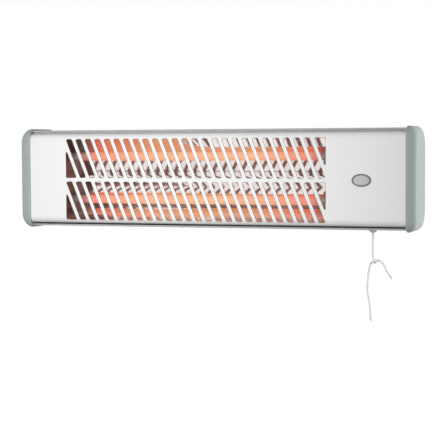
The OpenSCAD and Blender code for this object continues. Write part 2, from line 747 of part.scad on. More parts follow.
module element_support(x0, s) {
    foot_y = inner_back - support_t;
    difference() {
        union() {
            along_x(x0, x0 + support_t) polygon(end_outline(support_half, reflector_y, inner_back,
                tilt_plate_r, back_r - sheet_t));
            translate([s > 0 ? x0 : x0 - foot_w, foot_y, -foot_screw_z - foot_tail])
                cube([foot_w + support_t, support_t, 2 * (foot_screw_z + foot_tail)]);
            for (z = [-support_half, support_half - support_t])
                translate([s > 0 ? x0 - tab_d : x0 + support_t, rivet_y - tab_w / 2, z])
                    cube([tab_d, tab_w, support_t]);
        }
        for (z = tube_zs) rod_x(tube_d / 2 + tube_slack, x0 - through, x0 + support_t + through, tube_y, z);
        for (z = [-foot_screw_z, foot_screw_z]) for (x = foot_screw_xs)
            rod_y(foot_screw_r + thread_fit, x, foot_y - through, 0, z);
        rivet_holes();
    }
}

module element_support_left() { color("darkgray") on_body() element_support(support_faces[0], -1); }
module element_support_right() { color("darkgray") on_body() element_support(reflector_x[1], 1); }

module foot_screws() {
    color("dimgray") on_body() for (x = foot_screw_xs) for (z = [-foot_screw_z, foot_screw_z])
        translate([x, 0, z]) toward_y(1) pan_screw(foot_screw_r, sheet_t + support_t + 2 * through);
}

module quartz_tube(z) {
    half = reflector_l / 2 + support_t + ceramic_socket;
    on_body() difference() {
        rod_x(tube_d / 2, grille_x - half, grille_x + half, tube_y, z);
        rod_x(tube_bore_d / 2, grille_x - half - through, grille_x + half + through, tube_y, z);
    }
}

module quartz_tube_upper() { color([1, 0.62, 0.48]) quartz_tube(tube_zs[0]); }
module quartz_tube_lower() { color([1, 0.62, 0.48]) quartz_tube(tube_zs[1]); }

// The coil is drawn as the sleeve that its fine winding fills, with a straight leg to each pin
module heating_coil(z) {
    reach = reflector_l / 2 + support_t + ceramic_socket - pin_flange_t;
    on_body() {
        difference() {
            rod_x(coil_d / 2, grille_x - coil_l / 2, grille_x + coil_l / 2, tube_y, z);
            rod_x(coil_d / 2 - coil_wire_d, grille_x - coil_l / 2 + coil_wire_d,
                grille_x + coil_l / 2 - coil_wire_d, tube_y, z);
        }
        rod_x(coil_wire_d / 2, grille_x - reach, grille_x - coil_l / 2, tube_y, z);
        rod_x(coil_wire_d / 2, grille_x + coil_l / 2, grille_x + reach, tube_y, z);
    }
}

module heating_coil_upper() { color("orangered") heating_coil(tube_zs[0]); }
module heating_coil_lower() { color("orangered") heating_coil(tube_zs[1]); }

// Children are drawn on the axis of each tube's end, with +Z pointing out of the tube
module at_tube_ends() {
    on_body() for (z = tube_zs) for (s = [-1, 1])
        translate([grille_x + s * (reflector_l / 2 + support_t), tube_y, z]) toward_x(s) children();
}

module ceramic_caps() {
    color("ivory") at_tube_ends() rotate_extrude() polygon([
        [pin_d / 2 + thread_fit, ceramic_socket], [tube_d / 2 + thread_fit, ceramic_socket],
        [tube_d / 2 + thread_fit, 0], [ceramic_d / 2, 0], [ceramic_d / 2, ceramic_l - 1],
        [ceramic_d / 2 - 1, ceramic_l], [pin_d / 2 + thread_fit, ceramic_l]]);
}

module element_pins() {
    color("goldenrod") at_tube_ends() rotate_extrude() polygon([
        [0, ceramic_socket - pin_flange_t], [tube_bore_d / 2 - 0.6, ceramic_socket - pin_flange_t],
        [tube_bore_d / 2 - 0.6, ceramic_socket], [pin_d / 2, ceramic_socket],
        [pin_d / 2, ceramic_l + nut_h + pin_tip], [0, ceramic_l + nut_h + pin_tip]]);
}

module pin_nuts() {
    color("gray") at_tube_ends() translate([0, 0, ceramic_l]) hex_nut(pin_d / 2, nut_h);
}

module heat_shield() {
    foot_y = inner_back - support_t;
    color("lightgray") on_body() difference() {
        union() {
            along_x(shield_x, shield_x + support_t) polygon(end_outline(support_half, reflector_y,
                inner_back, tilt_plate_r, back_r - sheet_t));
            translate([shield_x, foot_y, -foot_screw_z - foot_tail])
                cube([foot_w + support_t, support_t, 2 * (foot_screw_z + foot_tail)]);
        }
        rod_x(shield_hole_r, shield_x - through, shield_x + support_t + through, shield_hole_y, 0);
        for (z = [-foot_screw_z, foot_screw_z])
            rod_y(foot_screw_r + thread_fit, foot_screw_xs[2], foot_y - through, 0, z);
    }
}

// Cord switch ----------------------------------------------------------------

// Half width of the block that joins the housing to its neck
neck_block = neck_r + 2;
drum_gap = cord_r + 0.5;         // from the cord's middle to the drum's flanges
drum_flange_t = 1.6;
rotor_t = 1.8;
rotor_y = cord_y + drum_gap + drum_flange_t + 0.3;
spring_y = cord_y - drum_gap - drum_flange_t - 0.3;

module switch_housing() {
    color("white") on_body() difference() {
        union() {
            rod_y(switch_r, drum_x, switch_front, switch_back, drum_z);
            translate([cord_x - neck_block, cord_y - neck_block, floor_z + sheet_t])
                cube([2 * neck_block, 2 * neck_block, drum_z - switch_r / 2 - floor_z - sheet_t]);
            rod_z(neck_r, cord_x, cord_y, neck_end_z, floor_z + sheet_t + through);
            for (s = [-1, 1]) rod_y(lug_r, drum_x + s * lug_x, switch_front,
                switch_front + thread_l + 2 * switch_wall, drum_z);
        }
        rod_y(switch_cavity_r, drum_x, switch_front - through, switch_back - switch_wall, drum_z);
        rod_z(neck_bore_r, cord_x, cord_y, mouth_z, drum_z);
        rod_y(axle_d / 2 + thread_fit, drum_x, switch_front, switch_back + through, drum_z);
        for (s = [-1, 1]) rod_y(small_screw_r + thread_fit, drum_x + s * lug_x, switch_front - through,
            switch_front + thread_l + through, drum_z);
        for (s = [-1, 1]) contact_blade(s, thread_fit);
    }
}

module switch_cover() {
    y0 = switch_front - switch_wall;
    color("white") on_body() difference() {
        union() {
            rod_y(switch_r, drum_x, y0, switch_front, drum_z);
            for (s = [-1, 1]) rod_y(lug_r, drum_x + s * lug_x, y0, switch_front, drum_z);
        }
        rod_y(axle_d / 2 + thread_fit, drum_x, y0 - through, switch_front + through, drum_z);
        for (s = [-1, 1]) rod_y(small_screw_r + hole_fit, drum_x + s * lug_x, y0 - through,
            switch_front + through, drum_z);
    }
}

module switch_cover_screws() {
    color("dimgray") on_body() for (s = [-1, 1])
        translate([drum_x + s * lug_x, switch_front - switch_wall, drum_z])
            toward_y(-1) pan_screw(small_screw_r, switch_wall + thread_l);
}

// Steel pin, with a collar that stops it on the outside of the cover
module switch_axle() {
    color("silver") on_body() translate([drum_x, switch_front - switch_wall, drum_z]) toward_y(-1)
        rotate_extrude() polygon([[0, -switch_d - switch_wall], [axle_d / 2, -switch_d - switch_wall],
            [axle_d / 2, 0], [axle_d / 2 + 1, 0], [axle_d / 2 + 1, 1], [0, 1]]);
}

// Drum with a groove for the cord; its axis is Y
module pull_drum() {
    bore = axle_d / 2 + axle_fit;
    groove = drum_r - cord_r - 0.1;
    color("ivory") on_body() translate([drum_x, cord_y, drum_z]) toward_y(1) rotate_extrude() polygon([
        [bore, -drum_gap - drum_flange_t], [drum_flange_r, -drum_gap - drum_flange_t],
        [drum_flange_r, -drum_gap], [groove, -drum_gap], [groove, drum_gap], [drum_flange_r, drum_gap],
        [drum_flange_r, drum_gap + drum_flange_t], [bore, drum_gap + drum_flange_t]]);
}

// The cord's wound part, from the straight cord's side over the top of the drum
module drum_cord() {
    color("white") on_body() translate([drum_x, cord_y, drum_z]) rotate([90, 0, 0])
        rotate_extrude(angle = 180) translate([drum_r, 0]) circle(r = cord_r);
}

// Rotor with four lobes, turned a quarter by each pull
module contact_rotor() {
    bore = axle_d / 2 + axle_fit;
    color("tan") on_body() translate([drum_x, rotor_y, drum_z]) toward_y(1) difference() {
        linear_extrude(rotor_t) polygon([for (i = [0:47]) let (a = 360 * i / 48)
            (rotor_r - 0.6 + 0.6 * cos(4 * a)) * [cos(a), sin(a)]]);
        translate([0, 0, -through]) cylinder(r = bore, h = rotor_t + 2 * through);
    }
}

module return_spring() {
    outer = axle_d / 2 + 3;
    color("silver") on_body() translate([drum_x, spring_y, drum_z]) toward_y(-1) rotate_extrude()
        polygon([[axle_d / 2 + 0.6, 0], [outer, 0], [outer, spring_y - switch_front],
            [axle_d / 2 + 0.6, spring_y - switch_front]]);
}

module contact_blade(s, grow = 0) {
    t = contact_t + 2 * grow;
    w = contact_w + 2 * grow;
    translate([drum_x + s * contact_x - t / 2, rotor_y, drum_z - w / 2])
        cube([t, tab_y - rotor_y, w]);
}

module switch_contacts() { color("goldenrod") on_body() for (s = [-1, 1]) contact_blade(s); }

// Collar nut with a bell mouth, which clamps the switch's neck to the casing's floor
module cord_bush() {
    lip = neck_bore_r + 1;
    neck_end = floor_z - neck_end_z;
    color("white") on_body() translate([cord_x, cord_y, floor_z]) mirror([0, 0, 1]) rotate_extrude()
        polygon([[neck_r + thread_fit, 0], [bush_r, 0], [bush_r, 0.3 * bush_h],
            [lip + 0.9, bush_h - 0.5], [lip + 0.4, bush_h], each arc([lip, bush_h - lip + neck_bore_r],
            lip - neck_bore_r, 90, 180), [neck_bore_r, neck_end], [neck_r + thread_fit, neck_end]]);
}

// Wiring ---------------------------------------------------------------------

module terminal_block() {
    color("white") on_body() difference() {
        translate([entry_x - block_w / 2, block_y, block_z]) cube([block_w, block_d, block_h]);
        for (i = [-1:1]) {
            rod_z(way_r, entry_x + i * way_pitch, block_y + block_d / 2, block_z - through,
                block_z + 0.7 * block_h);
            rod_y(small_screw_r + thread_fit, entry_x + i * way_pitch, block_y - through,
                block_y + block_d / 2, block_z + block_h / 2);
        }
        for (x = block_screw_xs)
            rod_y(small_screw_r + thread_fit, x, inner_back - thread_l - through, through,
                block_z + block_h / 2);
    }
}

module terminal_screws() {
    color("goldenrod") on_body() for (i = [-1:1])
        translate([entry_x + i * way_pitch, block_y, block_z + block_h / 2])
            toward_y(-1) pan_screw(small_screw_r, block_d / 2 - way_r);
}

module block_screws() {
    color("dimgray") on_body() for (x = block_screw_xs) translate([x, 0, block_z + block_h / 2])
        toward_y(1) pan_screw(small_screw_r, sheet_t + thread_l);
}

module cable_clamp() {
    half = clamp_x + clamp_pad;
    color("white") on_body() difference() {
        along_z(clamp_z - clamp_w / 2, clamp_z + clamp_w / 2) polygon([
            [entry_x - half, inner_back], [entry_x - clamp_x + clamp_pad, inner_back],
            each arc([entry_x, inner_back], entry_r, 180, 360, 2 * arc_steps),
            [entry_x + clamp_x - clamp_pad, inner_back], [entry_x + half, inner_back],
            [entry_x + half, inner_back - clamp_t], [entry_x + entry_r + clamp_t, inner_back - clamp_t],
            each arc([entry_x, inner_back], entry_r + clamp_t, -30, -150, 2 * arc_steps),
            [entry_x - entry_r - clamp_t, inner_back - clamp_t], [entry_x - half, inner_back - clamp_t]]);
        for (x = [-clamp_x, clamp_x]) rod_y(small_screw_r + hole_fit, entry_x + x,
            inner_back - clamp_t - through, 0, clamp_z);
    }
}

module clamp_screws() {
    color("dimgray") on_body() for (x = [-clamp_x, clamp_x])
        translate([entry_x + x, inner_back - clamp_t, clamp_z])
            toward_y(-1) pan_screw(small_screw_r, clamp_t + sheet_t + 0.8);
}

module cable_grommet() {
    rim = grommet_neck_r + 2;
    color("dimgray") on_body() translate([entry_x, 0, entry_z]) toward_y(1) rotate_extrude() polygon([
        [entry_r, -sheet_t - grommet_flange], [rim - 1, -sheet_t - grommet_flange],
        [rim, -sheet_t - grommet_flange + 1], [rim, -sheet_t], [grommet_neck_r, -sheet_t],
        [grommet_neck_r, 0], [rim, 0], [rim, grommet_flange - 1], [rim - 1, grommet_flange],
        [entry_r, grommet_flange]]);
}

// Leads, routed by hand between fixed terminals. Each starts and ends square to its terminal, because
// the middle of its first and last stretch keeps them straight.
module lead(route, side) {
    last = len(route) - 1;
    on_body() plain_tube([route[0], (route[0] + route[1]) / 2, for (i = [1:last - 1]) route[i],
        (route[last - 1] + route[last]) / 2, route[last]], lead_d / 2, side, 3);
}

pin_x = grille_x + pin_end;
link_x = grille_x - pin_end;
way_z = block_z + block_h;
way_y = block_y + block_d / 2;
lead_stub = 3;                   // straight length of a lead at a terminal
link_bow = 10;                   // how far the link between the elements stands off their pins
link_turn = 16;                  // height over which the link bends

module element_link() {
    bow = link_x - link_bow;
    bend = link_x - 0.8 * link_bow;
    color("saddlebrown") lead([
        [link_x, tube_y, tube_zs[0]],
        [link_x - lead_stub, tube_y, tube_zs[0]],
        [bend, tube_y, tube_zs[0] - 0.4 * link_turn],
        [bow, tube_y, tube_zs[0] - link_turn],
        [bow, tube_y, 0],
        [bow, tube_y, tube_zs[1] + link_turn],
        [bend, tube_y, tube_zs[1] + 0.4 * link_turn],
        [link_x - lead_stub, tube_y, tube_zs[1]],
        [link_x, tube_y, tube_zs[1]]], [0, 1, 0]);
}

module live_lead() {
    x = drum_x + contact_x;
    color("saddlebrown") lead([[entry_x, way_y, way_z], [entry_x, way_y, way_z + lead_stub],
        [entry_x, way_y - 4.5, way_z + 5.8], [entry_x, block_y - 5, way_z + 3],
        [entry_x, block_y - 7, way_z - 8], [entry_x, block_y - 7, block_z - 8],
        [x + 1, block_y - 7, drum_z + 16], [x, block_y - 7, drum_z + 5],
        [x, tab_y + lead_stub, drum_z], [x, tab_y, drum_z]], [1, 0, 0]);
}

module element_lead_upper() {
    x = entry_x - way_pitch;
    color("steelblue") lead([[x, way_y, way_z], [x, way_y, way_z + lead_stub], [x - 4, way_y - 3, way_z + 8],
        [x - 11, way_y - 10, way_z + 2], [x - 13, shield_hole_y + 3, 14], [shield_x + 7, shield_hole_y, 4],
        [shield_x + 3, shield_hole_y, 3], [shield_x - 2, shield_hole_y - 1, 3], [pin_x + 4, tube_y + 12, 8],
        [pin_x + 3.6, tube_y + 2, tube_zs[0] - 6], [pin_x + 2, tube_y, tube_zs[0]],
        [pin_x, tube_y, tube_zs[0]]], [0, 1, 1]);
}

module element_lead_lower() {
    x = drum_x - contact_x;
    color("steelblue") lead([[x, tab_y, drum_z], [x, tab_y + lead_stub, drum_z],
        [x - 1, tab_y + 6, drum_z + 8], [x - 2, tab_y + 3, drum_z + 24], [shield_x + 7, shield_hole_y + 1, -5],
        [shield_x + 3, shield_hole_y, -3], [shield_x - 2, shield_hole_y - 1, -3],
        [pin_x + 4, tube_y + 12, -8], [pin_x + 3.6, tube_y + 2, tube_zs[1] + 6],
        [pin_x + 2, tube_y, tube_zs[1]], [pin_x, tube_y, tube_zs[1]]], [1, 0, 0]);
}

module earth_lead() {
    x = entry_x + way_pitch;
    color("olivedrab") lead([[x, way_y, way_z], [x, way_y, way_z + lead_stub], [x - 1, way_y - 5, way_z + 8],
        [x - 5, way_y - 7, earth_z], [entry_x, -earth_tip - lead_stub, earth_z],
        [entry_x, -earth_tip, earth_z]],
        [1, 0, 0]);
}

// Earth screw through the casing's back, with its nut inside
module earth_stud() {
    color("goldenrod") on_body() {
        translate([entry_x, inner_back, earth_z]) toward_y(-1) hex_nut(bracket_screw_r, nut_h);
        translate([entry_x, 0, earth_z]) toward_y(1) pan_screw(bracket_screw_r, earth_tip);
    }
}

// Badge ----------------------------------------------------------------------

module badge_rim_ring() {
    a = badge_w / 2;
    b = badge_h / 2;
    color("gray") on_body() translate([badge_x, 0, -badge_drop]) {
        difference() {
            along_y(front - badge_t, front) polygon(ellipse(a, b));
            along_y(front - badge_t - through, front + through)
                polygon(ellipse(a - badge_rim, b - badge_rim));
        }
        for (s = [-1, 1]) rod_y(peg_r, s * peg_x, front, front + panel_t + 1.5, 0);
    }
}

module badge_insert() {
    a = badge_w / 2 - badge_rim;
    b = badge_h / 2 - badge_rim;
    color("silver") on_body() translate([badge_x, 0, -badge_drop])
        along_y(front - 0.7 * badge_t, front) polygon(ellipse(a, b));
}

// Cord -----------------------------------------------------------------------

// Children are drawn from the mouth of the bush, where the cord leaves it
module at_mouth() { on_body() translate([cord_x, cord_y, mouth_z]) children(); }

module inner_cord() {
    color("white") on_body() rod_z(cord_r, cord_x, cord_y, mouth_z, drum_z - wrap_end);
}

// Straight cord, with a round top that swings in the mouth of the bush
module pull_cord() {
    top = pull_route[0];
    dome = [for (a = [75:-25:25]) [top + [0, 0, cord_r * sin(a)], cord_r * cos(a)]];
    color("white") at_mouth() tube([for (d = dome) d[0], each pull_route],
        [for (d = dome) d[1], for (q = pull_route) cord_r], [1, 0, 0]);
}

module cord_knot() {
    color("white") at_mouth() translate(knot_centre) rotate_extrude() polygon(concat(
        [[0, -knot_h / 2]], [for (i = [0:8]) let (a = -80 + 20 * i)
            [knot_r * cos(a), knot_h / 2 * sin(a)]], [[0, knot_h / 2]]));
}

module cord_tail_long() { color("white") at_mouth() plain_tube(tail_long_route, cord_r, [0, 1, 0]); }
module cord_tail_short() { color("white") at_mouth() plain_tube(tail_short_route, cord_r, [0, 1, 0]); }

wall_bracket();
pivot_screws();
pivot_washers();
pivot_nuts();
tilt_bracket();
bracket_screws();
bracket_nuts();
rear_casing();
front_panel();
end_cap_left();
end_cap_right();
cap_screws();
reflector();
reflector_rivets();
element_support_left();
element_support_right();
foot_screws();
quartz_tube_upper();
quartz_tube_lower();
heating_coil_upper();
heating_coil_lower();
ceramic_caps();
element_pins();
pin_nuts();
heat_shield();
switch_housing();
switch_cover();
switch_cover_screws();
switch_axle();
pull_drum();
drum_cord();
contact_rotor();
return_spring();
switch_contacts();
cord_bush();
terminal_block();
terminal_screws();
block_screws();
cable_clamp();
clamp_screws();
cable_grommet();
badge_rim_ring();
badge_insert();
element_link();
live_lead();
element_lead_upper();
element_lead_lower();
earth_lead();
earth_stud();
inner_cord();
pull_cord();
cord_knot();
cord_tail_long();
cord_tail_short();
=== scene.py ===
"""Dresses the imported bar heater: cord, enamelled sheet, end caps, glowing elements and mirror trough.

Every place is in the part's own frame, in metres: +X to the right, +Y into the wall, +Z up, with the
origin at the middle of the wall plate's back face. Sections of the heater are worked out in the
heater's own frame, in millimetres, where y = 0 is the casing's back and z = 0 its middle.
"""

import logging
import math
from abc import ABC, abstractmethod
from collections.abc import Sequence
from dataclasses import dataclass, field
from enum import Enum

import bpy
import numpy as np
from mathutils import Matrix, Vector, geometry
from numpy.typing import ArrayLike, NDArray


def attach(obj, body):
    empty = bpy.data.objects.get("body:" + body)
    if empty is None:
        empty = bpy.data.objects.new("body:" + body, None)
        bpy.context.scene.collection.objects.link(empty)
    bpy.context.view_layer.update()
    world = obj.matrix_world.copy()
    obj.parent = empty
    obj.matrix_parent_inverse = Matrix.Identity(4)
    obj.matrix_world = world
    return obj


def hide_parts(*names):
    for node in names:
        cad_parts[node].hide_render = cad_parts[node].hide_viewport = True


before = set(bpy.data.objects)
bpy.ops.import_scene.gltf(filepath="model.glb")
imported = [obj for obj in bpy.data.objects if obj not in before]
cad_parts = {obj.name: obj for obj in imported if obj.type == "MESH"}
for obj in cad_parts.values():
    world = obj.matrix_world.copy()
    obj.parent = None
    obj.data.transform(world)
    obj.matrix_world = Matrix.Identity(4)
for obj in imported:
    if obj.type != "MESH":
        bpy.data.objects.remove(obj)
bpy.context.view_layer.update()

Array = NDArray[np.float64]
Faces = NDArray[np.int64]
Colour = tuple[float, float, float]
Place = tuple[float, float, float]
Pair = tuple[float, float]
Corners = tuple[Pair, ...]

log = logging.getLogger("bar_heater")

# A millimetre in metres, the heater's own origin in the part's frame, and the frame's directions.
MM = 0.001
HEATER_ORIGIN = np.array([0.0, -0.034, 0.020])
ALONG_X = np.array([1.0, 0.0, 0.0])
INTO_WALL = np.array([0.0, 1.0, 0.0])
UP = np.array([0.0, 0.0, 1.0])

# The wound part of both heating coils, in the heater's frame: its middle along X, half its length and
# the distance from turn to turn, in millimetres. The glow follows it.
COIL_MIDDLE = -24.0
COIL_HALF = 157.0
COIL_PITCH = 2.4

# Points closer than WELD, in metres, are one. TINY keeps a division away from zero, and an axis whose
# rise is at least UPRIGHT counts as upright. CHUNK points at a time are set against a whole path.
WELD = 1e-7
TINY = 1e-12
UPRIGHT = 0.9
CHUNK = 2000


class Body(Enum):
    """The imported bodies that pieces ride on."""

    HEATER = "heater"
    CORD = "hanging_cord"


class Side(Enum):
    """The heater's two ends."""

    LEFT = -1
    RIGHT = 1


class Row(Enum):
    """The two glowing elements."""

    UPPER = 1
    LOWER = -1


# Meshes -----------------------------------------------------------------------------------------


def to_row(points: Array) -> Array:
    """Turns points of the heater's frame, in millimetres, into points of the part's frame."""
    return np.asarray(points, float) * MM + HEATER_ORIGIN


def unit(vectors: Array) -> Array:
    """Each vector divided by its length."""
    return vectors / np.maximum(np.linalg.norm(vectors, axis=-1, keepdims=True), TINY)


def rounded(corners: ArrayLike, radii: Sequence[float], steps: int, closed: bool = False) -> Array:
    """Rounds the corners of a line in a plane.

    A corner b between a and c becomes an arc that touches both sides: its centre lies on the
    bisector at r / sin(half the corner's angle) from b, and the arc runs between the feet of the
    centre on the two sides.

    Args:
        corners: The line's corners, (n, 2).
        radii: The radius at each corner; the two ends of an open line keep theirs unused.
        steps: Pieces of each arc.
        closed: Whether the last corner joins the first.

    Returns:
        The points of the line, (m, 2).
    """
    corners = np.asarray(corners, float)
    count = len(corners)
    line = []
    for i, (b, r) in enumerate(zip(corners, radii)):
        if r <= 0 or (not closed and i in (0, count - 1)):
            line.append(b[None])
            continue
        u, v = unit(corners[i - 1] - b), unit(corners[(i + 1) % count] - b)
        half = math.acos(np.clip(u @ v, -1, 1)) / 2
        centre = b + unit(u + v) * r / math.sin(half)
        start, end = b + u * r / math.tan(half) - centre, b + v * r / math.tan(half) - centre
        first = math.atan2(start[1], start[0])
        sweep = (math.atan2(end[1], end[0]) - first + math.pi) % (2 * math.pi) - math.pi
        angles = first + sweep * np.linspace(0, 1, steps + 1)
        line.append(centre + r * np.stack([np.cos(angles), np.sin(angles)], 1))
    return np.concatenate(line)


def ellipse(a: float, b: float, count: int) -> Array:
    """Points (a cos t, b sin t) of an ellipse, with t in equal steps round it."""
    t = np.linspace(0, 2 * math.pi, count, endpoint=False)
    return np.stack([a * np.cos(t), b * np.sin(t)], 1)


def grid_faces(rows: int, columns: int) -> Faces:
    """Two triangles for each cell of a grid of points that is stored row by row.

    Args:
        rows: Points along the first parameter.
        columns: Points along the second parameter, in which each row closes on itself.

    Returns:
        Point numbers of the triangles, (n, 3).
    """
    i, j = np.arange(rows - 1)[:, None], np.arange(columns)[None]
    below, right = i + 1, (j + 1) % columns
    a, b = i * columns + j, i * columns + right
    c, d = below * columns + right, below * columns + j
    return np.stack([a, b, c, a, c, d], -1).reshape(-1, 3)


@dataclass
class Skin:
    """Points, corner normals and triangles of a piece, gathered part by part.

    Points that fall together are welded when the piece is made, so a part may repeat the border of
    its neighbour. Where a part gives its normals, they are kept as they are.
    """

    points: list[Array] = field(default_factory=list)
    normals: list[Array] = field(default_factory=list)
    faces: list[Faces] = field(default_factory=list)
    tones: list[Faces] = field(default_factory=list)
    count: int = 0

    def add(self, points: Array, faces: Faces, normals: Array | None = None,
            tone: int | Faces = 0) -> None:
        """Adds a part.

        Args:
            points: Its points, (n, 3), in metres.
            faces: Its triangles, (m, 3).
            normals: A normal for each point, or None where Blender works them out.
            tone: Number of the finish that its faces take, or one for each face.
        """
        points = np.asarray(points, float).reshape(-1, 3)
        self.points.append(points)
        self.normals.append(np.zeros_like(points) if normals is None else normals.reshape(-1, 3))
        self.faces.append(faces + self.count)
        self.tones.append(np.full(len(faces), tone))
        self.count += len(points)

    def build(self, name: str, crease: float = 40.0) -> bpy.types.Object:
        """Makes the piece: welds its points and shades it smooth.

        Args:
            name: The piece's name.
            crease: Edges sharper than this, in degrees, stay sharp where no normals were given.

        Returns:
            The new object, at the origin.
        """
        points, faces = np.concatenate(self.points), np.concatenate(self.faces)
        normals, tones = np.concatenate(self.normals), np.concatenate(self.tones)
        keys = np.round(points / WELD).astype(np.int64)
        _, first, home = np.unique(keys, axis=0, return_index=True, return_inverse=True)
        welded = home.reshape(-1)[faces]
        full = (welded != np.roll(welded, 1, axis=1)).all(axis=1)
        welded, faces, tones = welded[full], faces[full], tones[full]
        mesh = bpy.data.meshes.new(name)
        mesh.vertices.add(len(first))
        mesh.vertices.foreach_set("co", points[first].astype(np.float32).ravel())
        mesh.loops.add(welded.size)
        mesh.loops.foreach_set("vertex_index", welded.astype(np.int32).ravel())
        mesh.polygons.add(len(welded))
        mesh.polygons.foreach_set("loop_start", np.arange(0, welded.size, 3, dtype=np.int32))
        mesh.polygons.foreach_set("material_index", tones.astype(np.int32))
        mesh.update(calc_edges=True)
        mesh.validate(clean_customdata=False)
        mesh.shade_smooth()
        given = normals[faces[:, 0]].any(axis=1)
        if given.all() and len(mesh.polygons) == len(faces):
            mesh.normals_split_custom_set(normals[faces].reshape(-1, 3).tolist())
        else:
            mesh.set_sharp_from_angle(angle=math.radians(crease))
        piece = bpy.data.objects.new(name, mesh)
        bpy.context.scene.collection.objects.link(piece)
        return piece


def inside(points: Array, outline: Array) -> NDArray[np.bool_]:
    """Finds the points in a closed outline, by counting the sides that a ray to +x crosses.

    Args:
        points: The points to test, (n, 2).
        outline: The outline, (m, 2).

    Returns:
        Whether each point lies in it.
    """
    a, b = outline, np.roll(outline, -1, axis=0)
    x, y = points[:, :1], points[:, 1:]
    spans = (a[:, 1] > y) != (b[:, 1] > y)
    rise = np.where(b[:, 1] == a[:, 1], TINY, b[:, 1] - a[:, 1])
    return (spans & (x < a[:, 0] + (y - a[:, 1]) / rise * (b[:, 0] - a[:, 0]))).sum(1) % 2 == 1


def widened(outline: Array, amount: float) -> Array:
    """Moves each point of a closed outline outwards, along the mitre of its two sides.

    Args:
        outline: The outline, (n, 2).
        amount: How far its sides move, inwards where it is below zero.

    Returns:
        The moved outline.
    """
    ahead = unit(np.roll(outline, -1, axis=0) - outline)
    before = np.roll(ahead, 1, axis=0)
    mitre = np.stack([ahead[:, 1] + before[:, 1], -ahead[:, 0] - before[:, 0]], 1)
    area = np.cross(outline, np.roll(outline, -1, axis=0)).sum()
    return outline + mitre * np.sign(area) * amount / (1 + (ahead * before).sum(1))[:, None]


def sampled(spots: Array, along: Array, line: Array) -> Array:
    """Points between those of a line, (n, k), at given distances along it."""
    return np.stack([np.interp(spots, along, line[:, k]) for k in range(line.shape[1])], 1)


def distance_along(line: Array) -> Array:
    """The distance along a line of points, (n, k), from its first point to each of them."""
    return np.concatenate([[0.0], np.cumsum(np.linalg.norm(np.diff(line, axis=0), axis=1))])


